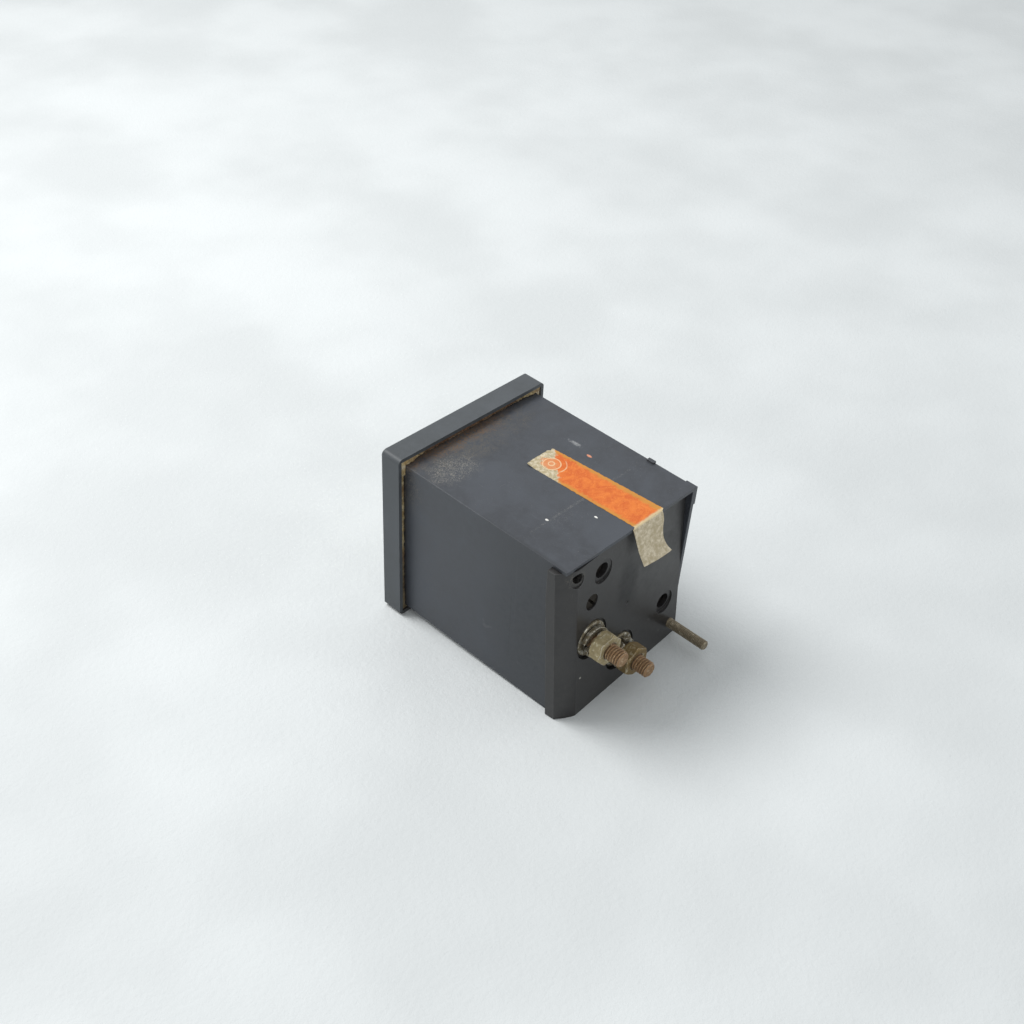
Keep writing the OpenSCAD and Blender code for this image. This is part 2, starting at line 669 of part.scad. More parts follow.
// A jewel screw: slotted at one end, a blind bore for the pivot at the other.
module jewel_screw(y, len, dir) difference() {
    ycyl(jewel_d, y, len);
    ycyl(pin_d + 2 * pivot_fit, dir > 0 ? y + len - jewel_bore : y - 1, jewel_bore + 1);
    ybox(2 * jewel_d, 0.5, dir > 0 ? y - 1 : y + len - 0.5, 1.5);
}
front_jewel_y = bridge_y - boss_len - 0.9;
module front_jewel_screw() color([0.75, 0.76, 0.78]) at_pivot(60)
    jewel_screw(front_jewel_y, front_jewel_end - front_jewel_y, 1);
module rear_jewel_screw() color([0.75, 0.76, 0.78]) at_pivot(20)
    jewel_screw(rear_jewel_end, rear_bridge_y + bridge_t + 0.9 - rear_jewel_end, -1);

module jewel_lock_nut() color([0.76, 0.68, 0.42]) at_pivot(10)
    translate([0, bridge_y - boss_len - 0.7, 0]) hex_nut(5, jewel_d + 2 * eps, 0.7);

// ---------- zero adjustment ----------

module zero_lever() color([0.7, 0.71, 0.72]) {
    at_pivot(-45) difference() {
        union() {
            ycyl(2 * lever_r, lever_y, lever_t);
            ybox(zero_arm + zero_throw + 1.6, 3, lever_y, lever_t, (zero_arm + zero_throw + 1.6) / 2);
        }
        ycyl(2 * boss_r + 2 * gap, lever_y - 1, lever_t + 2);
        // the fork that takes the eccentric pin
        ybox(6, zero_pin_d + 2 * gap, lever_y - 1, lever_t + 2, zero_arm - zero_throw + 2.3);
    }
    at_pivot(135) {
        ybox(hair_out_r + 0.65 - lever_r + 0.6, 1.3, lever_y, lever_t, (hair_out_r + 0.65 + lever_r - 0.6) / 2);
        ybox(0.6, 1.3, lever_y, front_hair_y + hair_h - lever_y, hair_out_r + 0.35);
    }
}

module zero_screw() color([0.25, 0.25, 0.26]) translate([zero_off, 0, -zero_off]) {
    difference() {
        ycyl(zero_head_d, -bezel_depth - 0.3, bezel_face + 0.3 + gap + eps);
        rotate([0, 45, 0]) ybox(2 * zero_head_d, 0.9, -bezel_depth - 1, 1.5);
    }
    ycyl(zero_head_d + 1, zero_retainer_y, zero_retainer_t);
    rotate([0, 45, 0]) translate([zero_throw, 0, 0])
        ycyl(zero_pin_d, zero_retainer_y, lever_y + lever_t - zero_retainer_y, fn = 32);
}

// ---------- hairsprings ----------

// Half rings whose centres step from side to side make the spiral.
module hairspring(y, turn) {
    n = 2 * hair_turns;
    r0 = collet_r + 0.02;
    step = (hair_out_r - 0.35 - r0) / n;
    at_pivot(turn) translate([0, y, 0]) for (i = [0:n - 1])
        translate([(i % 2 == 0 ? 0 : step), 0, 0]) rotate([-90, 0, 0])
            rotate([0, 0, i % 2 == 0 ? 0 : 180]) rotate_extrude(angle = 180, $fn = 48)
                translate([r0 + step * i + (i % 2 == 0 ? 0 : 0), 0]) square([hair_t, hair_h]);
}
module front_hairspring() color([0.8, 0.66, 0.4]) hairspring(front_hair_y, 135);
module rear_hairspring() color([0.8, 0.66, 0.4]) hairspring(rear_hair_y, 135);

module rear_spring_anchor() color([0.78, 0.7, 0.42]) at_pivot(135) {
    ybox(0.6, 1.3, rear_hair_y, rear_bridge_y + bridge_t - rear_hair_y, hair_out_r + 0.35);
}

// ---------- moving system, at rest with the pointer along -X ----------

module coil_former() color([0.8, 0.8, 0.82]) at_pivot(180) difference() {
    ybox(2 * (coil_in_r + former_t), coil_w, former_y, former_end - former_y);
    ybox(2 * coil_in_r, coil_w + 1, former_y + former_t, former_end - former_y - 2 * former_t);
}

module coil_winding() color([0.6, 0.3, 0.14]) at_pivot(180) difference() {
    ybox(2 * (coil_in_r + former_t + winding_t), coil_w - 0.3, coil_y, coil_end - coil_y);
    ybox(2 * (coil_in_r + former_t + eps / 2), coil_w + 1, former_y - eps / 2, former_end - former_y + eps);
}

module front_pivot() color([0.75, 0.75, 0.77]) at_pivot() {
    ycyl(coil_w - 0.3, coil_y - base_t, base_t);
    ycyl(pin_d, front_jewel_end - jewel_bore + 0.3, coil_y - base_t - front_jewel_end + jewel_bore - 0.3 + eps);
    ycone(0.1, pin_d, front_jewel_end - jewel_bore + 0.05, 0.25 + eps / 4);
}

module rear_pivot() color([0.75, 0.75, 0.77]) at_pivot() {
    ycyl(coil_w - 0.3, coil_end, base_t);
    ycyl(pin_d, coil_end + base_t - eps, rear_jewel_end + jewel_bore - 0.3 - coil_end - base_t + eps);
    ycone(pin_d, 0.1, rear_jewel_end + jewel_bore - 0.3 - eps / 4, 0.25);
    ycyl(2 * collet_r, rear_hair_y - 0.1, hair_h + 0.2);
}

module balance_cross() color([0.78, 0.7, 0.42]) at_pivot(180) difference() {
    union() {
        ycyl(2 * hub_r, hub_y, hub_t);
        ycyl(2 * collet_r, front_hair_y - 0.05, hub_y - front_hair_y + 0.05 + eps);
        for (a = [90, 180, 270]) rotate([0, a, 0]) translate([0, hub_y + hub_t / 2, 0])
            rotate([0, 90, 0]) cylinder(d = 0.6, h = a == 180 ? 6 : 4.6, $fn = 24);
    }
    ycyl(pin_d + 2 * eps, front_hair_y - 1, 6);
}

module balance_weights() color([0.7, 0.62, 0.4]) at_pivot(180)
    for (a = [90, 180, 270]) rotate([0, a, 0]) translate([a == 180 ? 4.6 : 3.2, hub_y + hub_t / 2, 0])
        rotate([0, 90, 0]) difference() {
            cylinder(d = a == 180 ? 1.9 : 1.4, h = a == 180 ? 1.2 : 0.8, $fn = 24);
            translate([0, 0, -1]) cylinder(d = 0.6 + 2 * eps, h = 4, $fn = 24);
        }

// The pointer leaves the hub, steps forward past the dial and tapers to its tip.
module pointer() color([0.12, 0.12, 0.13]) at_pivot(180) {
    arm_y = hub_y + (hub_t - pointer_t) / 2;
    translate([hub_r + eps, arm_y, -pointer_w / 2]) cube([riser_r - hub_r - eps, pointer_t, pointer_w]);
    translate([riser_r - pointer_t, pointer_y, -pointer_w / 2])
        cube([pointer_t, arm_y - pointer_y + pointer_t, pointer_w]);
    translate([riser_r - pointer_t, pointer_y, 0]) rotate([-90, 0, 0]) linear_extrude(pointer_t)
        polygon([[0, -pointer_w / 2], [pointer_len * 0.55, -pointer_w * 0.4], [pointer_len - riser_r + pointer_t, -0.08],
            [pointer_len - riser_r + pointer_t, 0.08], [pointer_len * 0.55, pointer_w * 0.4], [0, pointer_w / 2]]);
}

// ---------- dial ----------

module dial_plate() color([0.93, 0.92, 0.88]) difference() {
    ybox(dial_w, dial_w, dial_y, dial_t, z = -body_drop);
    at_pivot() ycyl(2 * dial_cut_r, dial_y - 1, dial_t + 2, fn = 96);
    translate([pivot_off, dial_y - 1, -pivot_off - reach]) cube([reach, dial_t + 2, reach]);
    for (p = dial_posts) ycyl(1.5, dial_y - 1, dial_t + 2, p[0], p[1]);
}

module dial_pillars() color([0.74, 0.67, 0.46])
    for (p = dial_posts) difference() {
        ycyl(dial_post_d, dial_y + dial_t, plate_y - dial_y - dial_t, p[0], p[1]);
        ycyl(1.4 + 2 * eps, dial_y - 1, 6, p[0], p[1]);
    }

module dial_screws() color([0.2, 0.2, 0.2])
    for (p = dial_posts) translate([p[0], dial_y, p[1]]) rotate([0, 0, 180])
        slotted(2.8, 0.7, 1.4, 4.5, 20);

// ---------- electrical ----------

module resistor_bobbin() color([0.85, 0.82, 0.74]) {
    ycyl(bobbin_core_d, plate_end, bobbin_len, bobbin_x, bobbin_z);
    for (y = [0, bobbin_len - bobbin_flange_t])
        ycyl(bobbin_d, plate_end + y, bobbin_flange_t, bobbin_x, bobbin_z);
}
module resistor_winding() color([0.5, 0.26, 0.12]) difference() {
    ycyl(bobbin_wire_d, plate_end + bobbin_flange_t + eps, bobbin_len - 2 * bobbin_flange_t - 2 * eps,
        bobbin_x, bobbin_z);
    ycyl(bobbin_core_d + 2 * eps, plate_end, bobbin_len, bobbin_x, bobbin_z);
}

// A wire: rings of points swept along a smooth path through four guide points.
function blend(p, t) = pow(1 - t, 3) * p[0] + 3 * t * pow(1 - t, 2) * p[1]
    + 3 * t * t * (1 - t) * p[2] + pow(t, 3) * p[3];
function unit(v) = v / norm(v);
module wire(p, d = lead_d, rings = 14, sides = 8) {
    path = [for (i = [0:rings]) blend(p, i / rings)];
    pts = [for (i = [0:rings]) let (v = unit(path[min(i + 1, rings)] - path[max(i - 1, 0)]),
            u = unit(cross(v, [0.3, 0.1, 1])), w = cross(u, v))
        for (k = [0:sides - 1]) path[i] + d / 2 * (cos(360 * k / sides) * u + sin(360 * k / sides) * w)];
    walls = [for (i = [0:rings - 1], k = [0:sides - 1]) let (j = (k + 1) % sides)
        [sides * i + k, sides * i + sides + k, sides * i + sides + j, sides * i + j]];
    polyhedron(pts, concat([[for (k = [0:sides - 1]) k]], walls,
        [[for (k = [sides - 1:-1:0]) sides * rings + k]]), convexity = 6);
}
module lead_wires() color([0.55, 0.12, 0.1]) {
    lug_y = cover_in_y - 1.1;
    wire_x = bobbin_x + bobbin_len / 5;
    wire_y = plate_end + bobbin_len + lead_d / 2 + gap;
    wire([[term_far - 6.8, lug_y, -term_near], [term_far - 9, lug_y - 8, -term_near + 3],
        [wire_x + 7.6, wire_y + 3.5, bobbin_z - 4], [wire_x, wire_y, bobbin_z - 1]]);
    wire([[term_near - 6.8, lug_y, -term_far], [term_near - 9, lug_y - 6, -term_far + 1],
        [term_near - 8.2, plate_end + 9, 3.9 - term_far],
        [term_near - 6.2, plate_end + 0.35, 5.9 - term_far]]);
}

bezel();
window();
case_sleeve();
corner_cement();
rear_cover();
paper_label();
terminal_stud_positive();
terminal_stud_negative();
flat_washers();
spring_washers();
terminal_nuts();
lock_nuts();
solder_lugs();
mounting_stud();
deep_screws();
slotted_screw();
rear_pillars();
movement_plate();
yoke_pillars();
yoke_ring();
core_magnet();
core_spacers();
front_bridge();
rear_bridge();
bridge_pillars();
bridge_screws();
front_jewel_screw();
rear_jewel_screw();
jewel_lock_nut();
zero_lever();
zero_screw();
front_hairspring();
rear_hairspring();
rear_spring_anchor();
coil_former();
coil_winding();
front_pivot();
rear_pivot();
balance_cross();
balance_weights();
pointer();
dial_plate();
dial_pillars();
dial_screws();
resistor_bobbin();
resistor_winding();
lead_wires();
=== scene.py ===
import math
import bmesh
import bpy
from mathutils import Matrix, Vector, noise


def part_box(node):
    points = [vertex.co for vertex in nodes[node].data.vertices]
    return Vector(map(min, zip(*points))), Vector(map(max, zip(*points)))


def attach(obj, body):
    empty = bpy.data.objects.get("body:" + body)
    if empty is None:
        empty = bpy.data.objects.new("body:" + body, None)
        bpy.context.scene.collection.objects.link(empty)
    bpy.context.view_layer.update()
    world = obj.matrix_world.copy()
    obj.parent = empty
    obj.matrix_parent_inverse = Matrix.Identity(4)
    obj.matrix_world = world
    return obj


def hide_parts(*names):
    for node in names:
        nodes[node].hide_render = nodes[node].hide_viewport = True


# Panel meter seen from behind. The CAD frame gives every place, lengths here are in mm.
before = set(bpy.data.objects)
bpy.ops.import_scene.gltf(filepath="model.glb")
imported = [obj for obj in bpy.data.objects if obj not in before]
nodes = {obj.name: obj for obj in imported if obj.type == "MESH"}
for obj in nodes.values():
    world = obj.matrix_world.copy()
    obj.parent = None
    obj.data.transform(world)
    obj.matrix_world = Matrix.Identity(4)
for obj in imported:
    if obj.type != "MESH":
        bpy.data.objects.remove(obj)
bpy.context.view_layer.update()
mm = 0.001
caseBody = "case"
print("stage: frame loaded,", len(nodes), "nodes")


def lowHigh(nodeName):
    low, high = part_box(nodeName)
    return low / mm, high / mm


def axisOf(nodeName):
    low, high = lowHigh(nodeName)
    return (low.x + high.x) / 2, (low.z + high.z) / 2


# shader node helpers
def addNode(tree, kind, values=None, **settings):
    node = tree.nodes.new(kind)
    for key, value in settings.items():
        setattr(node, key, value)
    for key, value in (values or {}).items():
        if isinstance(value, bpy.types.NodeSocket):
            tree.links.new(value, node.inputs[key])
        elif value is not None:
            node.inputs[key].default_value = value
    return node


def calc(tree, operation, a, b=None, c=None, clamp=False):
    return addNode(tree, "ShaderNodeMath", {0: a, 1: b, 2: c}, operation=operation, use_clamp=clamp).outputs[0]


def vecCalc(tree, operation, a, b=None):
    node = addNode(tree, "ShaderNodeVectorMath", {0: a, 1: b}, operation=operation)
    return node.outputs[1] if operation in ("LENGTH", "DISTANCE", "DOT_PRODUCT") else node.outputs[0]


def colourOf(value):
    # hex text becomes a linear colour
    if isinstance(value, str):
        parts = [int(value[i:i + 2], 16) / 255 for i in (0, 2, 4)]
        return tuple(p / 12.92 if p < 0.04045 else ((p + 0.055) / 1.055) ** 2.4 for p in parts) + (1,)
    return value


def mix(tree, factor, a, b):
    node = addNode(tree, "ShaderNodeMix", data_type="RGBA", clamp_factor=True)
    for index, value in ((0, factor), (6, colourOf(a)), (7, colourOf(b))):
        if isinstance(value, bpy.types.NodeSocket):
            tree.links.new(value, node.inputs[index])
        else:
            node.inputs[index].default_value = value
    return node.outputs[2]


def between(tree, value, low, high, toLow=0.0, toHigh=1.0):
    # a smooth step of the value, from low to high
    return addNode(tree, "ShaderNodeMapRange", {"Value": value, "From Min": low, "From Max": high,
                                               "To Min": toLow, "To Max": toHigh},
                   interpolation_type="SMOOTHSTEP", clamp=True).outputs[0]


def place(tree):
    # the point on the piece, in mm
    coords = addNode(tree, "ShaderNodeTexCoord")
    scaled = addNode(tree, "ShaderNodeVectorMath", {0: coords.outputs["Object"]}, operation="SCALE")
    scaled.inputs["Scale"].default_value = 1 / mm
    return scaled.outputs[0]


def over(tree, colour, mask, share, other):
    # another colour laid over by a share of the mask
    return mix(tree, calc(tree, "MULTIPLY", mask, share), colour, other)


def noiseOf(tree, vector, size, detail=4.0, roughness=0.55, distortion=0.0):
    # size is in mm, a number or a socket
    scale = calc(tree, "DIVIDE", 1.0, size) if isinstance(size, bpy.types.NodeSocket) else 1.0 / size
    return addNode(tree, "ShaderNodeTexNoise", {"Vector": vector, "Scale": scale, "Detail": detail,
                                               "Roughness": roughness, "Distortion": distortion}).outputs[0]


def newGroup(name, inputs, output="Mask"):
    # the default says what kind an input is: a number, a vector or a colour
    tree = bpy.data.node_groups.new(name, "ShaderNodeTree")
    for label, default in inputs.items():
        kind = "Float" if isinstance(default, float) else "Vector" if len(default) == 3 else "Color"
        socket = tree.interface.new_socket(label, in_out="INPUT", socket_type="NodeSocket" + kind)
        socket.default_value = default
    for label in output.split():
        kind = "Color" if label == "Colour" else "Float"
        tree.interface.new_socket(label, in_out="OUTPUT", socket_type="NodeSocket" + kind)
    source = tree.nodes.new("NodeGroupInput")
    sink = tree.nodes.new("NodeGroupOutput")
    return tree, source.outputs, sink, place(tree)


def useGroup(tree, name, **values):
    node = addNode(tree, "ShaderNodeGroup", node_tree=groups[name])
    for key, value in values.items():
        socket = node.inputs[key]
        if isinstance(value, bpy.types.NodeSocket):
            tree.links.new(value, socket)
        else:
            socket.default_value = value
    return node.outputs


def maskOf(tree, name, **values):
    return useGroup(tree, name, **values)["Mask"]


# shared effects
def buildGroups():
    groups = {}

    # uneven patches of a colour or a stain
    tree, into, sink, spot = newGroup("patches", {"Size": 8.0, "Low": 0.4, "High": 0.65, "Shift": (0, 0, 0)})
    moved = vecCalc(tree, "ADD", spot, into["Shift"])
    cloud = noiseOf(tree, moved, into["Size"], 6.0, 0.6, 0.4)
    tree.links.new(between(tree, cloud, into["Low"], into["High"]), sink.inputs[0])
    groups["patches"] = tree

    # fine uneven surface, as a height
    tree, into, sink, spot = newGroup("grain", {"Size": 0.3, "Ripple Size": 6.0, "Ripple": 0.4}, "Height")
    fine = noiseOf(tree, spot, into["Size"], 3.0)
    wide = noiseOf(tree, spot, into["Ripple Size"], 2.0)
    tree.links.new(calc(tree, "MULTIPLY_ADD", wide, into["Ripple"], fine), sink.inputs[0])
    groups["grain"] = tree

    # rubbed corners and edges, with a painted highlight: lighter along the rounded edges
    tree, into, sink, spot = newGroup("edgeWearAndHighlight", {"Width": 0.3, "Patch Size": 3.0, "Low": 0.35, "High": 0.6})
    radius = calc(tree, "MULTIPLY", into["Width"], mm)
    rounded = addNode(tree, "ShaderNodeBevel", {"Radius": radius}, samples=6)
    flat = addNode(tree, "ShaderNodeNewGeometry")
    bend = vecCalc(tree, "DOT_PRODUCT", rounded.outputs[0], flat.outputs["Normal"])
    edge = between(tree, bend, 0.995, 0.88)
    broken = between(tree, noiseOf(tree, spot, into["Patch Size"], 5.0, 0.65), into["Low"], into["High"])
    tree.links.new(calc(tree, "MULTIPLY", edge, broken), sink.inputs[0])
    groups["edgeWearAndHighlight"] = tree

    # dirt that stays in corners and round fittings, with painted shade: darker where ambient light is blocked
    tree, into, sink, spot = newGroup("cornerDirtAndShade", {"Reach": 1.5, "Size": 1.5})
    reach = calc(tree, "MULTIPLY", into["Reach"], mm)
    hollow = addNode(tree, "ShaderNodeAmbientOcclusion", {"Distance": reach}, samples=6)
    shade = between(tree, hollow.outputs["AO"], 0.85, 0.35)
    uneven = between(tree, noiseOf(tree, spot, into["Size"], 4.0), 0.25, 0.6)
    tree.links.new(calc(tree, "MULTIPLY", shade, uneven), sink.inputs[0])
    groups["cornerDirtAndShade"] = tree

    # loose dust and pale grit on faces that look up
    tree, into, sink, spot = newGroup("dust", {"Size": 0.35, "Amount": 0.5})
    facing = addNode(tree, "ShaderNodeNewGeometry")
    up = addNode(tree, "ShaderNodeSeparateXYZ", {0: facing.outputs["Normal"]}).outputs[2]
    lying = between(tree, up, 0.1, 0.9, 0.25, 1.0)
    specks = between(tree, noiseOf(tree, spot, into["Size"], 2.0, 0.7), 0.62, 0.74)
    clouds = between(tree, noiseOf(tree, spot, 9.0, 4.0, 0.6), 0.42, 0.7)
    amount = calc(tree, "MULTIPLY", calc(tree, "MULTIPLY", specks, clouds), lying)
    tree.links.new(calc(tree, "MULTIPLY", amount, into["Amount"], clamp=True), sink.inputs[0])
    groups["dust"] = tree

    # fine scratches in two directions
    tree, into, sink, spot = newGroup("scratches", {"Size": 2.0, "Amount": 0.5})
    lines = None
    for turn, stretch in (((0.3, 0.5, 0.6), (9.0, 0.35, 0.35)), ((1.2, 0.2, 2.2), (0.3, 8.0, 0.4))):
        turned = addNode(tree, "ShaderNodeMapping", {"Vector": spot, "Rotation": turn, "Scale": stretch}).outputs[0]
        streak = between(tree, noiseOf(tree, turned, into["Size"], 2.0, 0.4), 0.72, 0.76)
        lines = streak if lines is None else calc(tree, "MAXIMUM", lines, streak)
    rubbed = between(tree, noiseOf(tree, spot, 14.0, 3.0), 0.45, 0.62)
    amount = calc(tree, "MULTIPLY", calc(tree, "MULTIPLY", lines, rubbed), into["Amount"])
    tree.links.new(amount, sink.inputs[0])
    groups["scratches"] = tree

    # one soft or sharp mark round a point
    tree, into, sink, spot = newGroup("mark", {"Centre": (0, 0, 0), "Reach": (1, 1, 1), "Inner": 0.6, "Outer": 1.0,
                                              "Ragged": 0.3, "Size": 1.0})
    away = vecCalc(tree, "DIVIDE", vecCalc(tree, "SUBTRACT", spot, into["Centre"]), into["Reach"])
    far = vecCalc(tree, "LENGTH", away)
    rag = calc(tree, "SUBTRACT", noiseOf(tree, spot, into["Size"], 4.0, 0.65), 0.5)
    edge = calc(tree, "MULTIPLY_ADD", rag, into["Ragged"], far)
    tree.links.new(calc(tree, "SUBTRACT", 1.0, between(tree, edge, into["Inner"], into["Outer"])), sink.inputs[0])
    groups["mark"] = tree

    # tarnish on plated and plain metal: a colour, and where it is stained
    tree, into, sink, spot = newGroup("tarnish", {"Clean": (0.6, 0.6, 0.6, 1), "Stain": (0.2, 0.16, 0.1, 1),
                                                 "Size": 1.2, "Amount": 0.5}, "Colour Mask")
    stains = noiseOf(tree, spot, into["Size"], 7.0, 0.68, 0.6)
    limit = calc(tree, "SUBTRACT", 0.85, calc(tree, "MULTIPLY", into["Amount"], 0.6))
    start = calc(tree, "SUBTRACT", limit, 0.22)
    stained = between(tree, stains, start, limit)
    tree.links.new(mix(tree, stained, into["Clean"], into["Stain"]), sink.inputs[0])
    tree.links.new(stained, sink.inputs[1])
    groups["tarnish"] = tree
    return groups


groups = buildGroups()
print("stage: shared effects ready")


# materials
def newMaterial(name, **plain):
    material = bpy.data.materials.new(name)
    material.use_nodes = True
    tree = material.node_tree
    shader = tree.nodes["Principled BSDF"]
    for key, value in plain.items():
        shader.inputs[key.replace("_", " ")].default_value = value
    return material, tree, shader


def bump(tree, shader, height, strength, distance):
    node = addNode(tree, "ShaderNodeBump", {"Height": height, "Strength": strength, "Distance": distance * mm})
    tree.links.new(node.outputs[0], shader.inputs["Normal"])


def feed(tree, shader, **links):
    for key, value in links.items():
        tree.links.new(value, shader.inputs[key.replace("_", " ")])


# dark satin finish: the sleeve, the cover and the bezel age in the same way
def caseMaterial(name, look):
    material, tree, shader = newMaterial(name, IOR=1.5)
    tone = maskOf(tree, "patches", Size=look["toneSize"], Low=0.35, High=0.68)
    colour = mix(tree, tone, look["base"], look["baseLight"])
    fine = maskOf(tree, "patches", Size=1.6, Low=0.4, High=0.7, Shift=(31, 7, 3))
    colour = over(tree, colour, fine, 0.35, look["fine"])
    scratch = maskOf(tree, "scratches", Size=look["scratchSize"], Amount=look["scratch"])
    colour = mix(tree, scratch, colour, look["scratchColour"])
    # rubbed edges with a painted highlight, lighter along the rounds
    wearAndHighlight = maskOf(tree, "edgeWearAndHighlight", Width=look["wearAndHighlightWidth"], Low=0.3, High=0.62)
    wearAndHighlightPart = calc(tree, "MULTIPLY", wearAndHighlight, look["wearAndHighlight"])
    colour = mix(tree, wearAndHighlightPart, colour, look["wearAndHighlightColour"])
    # corner dirt and painted shade, darker in corners and round fittings
    dirtAndShade = maskOf(tree, "cornerDirtAndShade", Reach=look["dirtAndShadeReach"], Size=1.2)
    colour = over(tree, colour, dirtAndShade, look["dirtAndShade"], look["dirtAndShadeColour"])
    dust = maskOf(tree, "dust", Size=0.4, Amount=look["dust"])
    colour = mix(tree, dust, colour, look["dustColour"])
    gloss = calc(tree, "MULTIPLY_ADD", tone, look["roughSpread"], look["rough"])
    gloss = calc(tree, "MULTIPLY_ADD", fine, 0.08, gloss)
    height = useGroup(tree, "grain", Size=look["grainSize"], Ripple=look["ripple"])["Height"]
    for spot in look["marks"]:
        mask = maskOf(tree, "mark", Centre=spot["at"], Reach=spot["reach"], Inner=spot.get("inner", 0.5),
                      Ragged=spot.get("ragged", 0.5), Size=spot.get("size", 1.0))
        amount = calc(tree, "MULTIPLY", mask, spot.get("amount", 1.0))
        if "lines" in spot:
            streaks = noiseOf(tree, place(tree), spot["lines"], 6.0, 0.7, 2.5)
            amount = calc(tree, "MULTIPLY", amount, between(tree, streaks, spot.get("low", 0.5), spot.get("high", 0.6)))
        colour = mix(tree, amount, colour, spot["colour"])
        if "gloss" in spot:
            gloss = calc(tree, "MULTIPLY_ADD", amount, spot["gloss"], gloss)
    feed(tree, shader, Base_Color=colour, Roughness=gloss)
    bump(tree, shader, height, look["bump"], 0.05)
    return material


def metalMaterial(name, look):
    material, tree, shader = newMaterial(name)
    tarnish = useGroup(tree, "tarnish", Clean=colourOf(look["clean"]), Stain=colourOf(look["stain"]),
                       Size=look.get("size", 1.2), Amount=look.get("amount", 0.5))
    colour = tarnish["Colour"]
    # dirt and painted shade, darker in corners and round fittings
    dirtAndShade = maskOf(tree, "cornerDirtAndShade", Reach=look.get("reach", 0.5), Size=0.6)
    dirtAndShadePart = calc(tree, "MULTIPLY", dirtAndShade, look.get("dirtAndShade", 0.5))
    colour = mix(tree, dirtAndShadePart, colour, look.get("dirtAndShadeColour", "2a2219"))
    # worn edges with a painted highlight, bright along the rounds
    wearAndHighlight = maskOf(tree, "edgeWearAndHighlight", Width=look.get("wearAndHighlightWidth", 0.12), Low=0.25, High=0.5)
    wearAndHighlightPart = calc(tree, "MULTIPLY", wearAndHighlight, look.get("wearAndHighlight", 0.4))
    colour = mix(tree, wearAndHighlightPart, colour, look.get("bright", "d8d2c4"))
    gloss = calc(tree, "MULTIPLY_ADD", tarnish["Mask"], look.get("roughSpread", 0.25), look.get("rough", 0.3))
    metallic = calc(tree, "MULTIPLY_ADD", tarnish["Mask"], -look.get("dull", 0.35), 1.0)
    metallic = calc(tree, "MULTIPLY_ADD", dirtAndShadePart, -0.6, metallic, clamp=True)
    feed(tree, shader, Base_Color=colour, Roughness=gloss, Metallic=metallic)
    height = useGroup(tree, "grain", Size=look.get("grain", 0.15), Ripple=look.get("ripple", 0.3),
                      **{"Ripple Size": look.get("rippleSize", 1.0)})["Height"]
    bump(tree, shader, height, look.get("bump", 0.4), look.get("depth", 0.03))
    return material


def plainMaterial(name, look):
    # mouldings, laminate, wire sleeve and paint with a little age
    material, tree, shader = newMaterial(name)
    tone = maskOf(tree, "patches", Size=look.get("size", 3.0), Low=0.35, High=0.65)
    colour = mix(tree, tone, look["base"], look["second"])
    # dirt and painted shade in corners
    dirtAndShade = maskOf(tree, "cornerDirtAndShade", Reach=look.get("reach", 0.8), Size=1.0)
    colour = mix(tree, calc(tree, "MULTIPLY", dirtAndShade, look.get("dirtAndShade", 0.4)), colour, look.get("dirtAndShadeColour", "201a14"))
    gloss = calc(tree, "MULTIPLY_ADD", tone, 0.1, look.get("rough", 0.45))
    feed(tree, shader, Base_Color=colour, Roughness=gloss)
    height = useGroup(tree, "grain", Size=look.get("grain", 0.2), Ripple=0.3)["Height"]
    bump(tree, shader, height, look.get("bump", 0.25), 0.02)
    return material


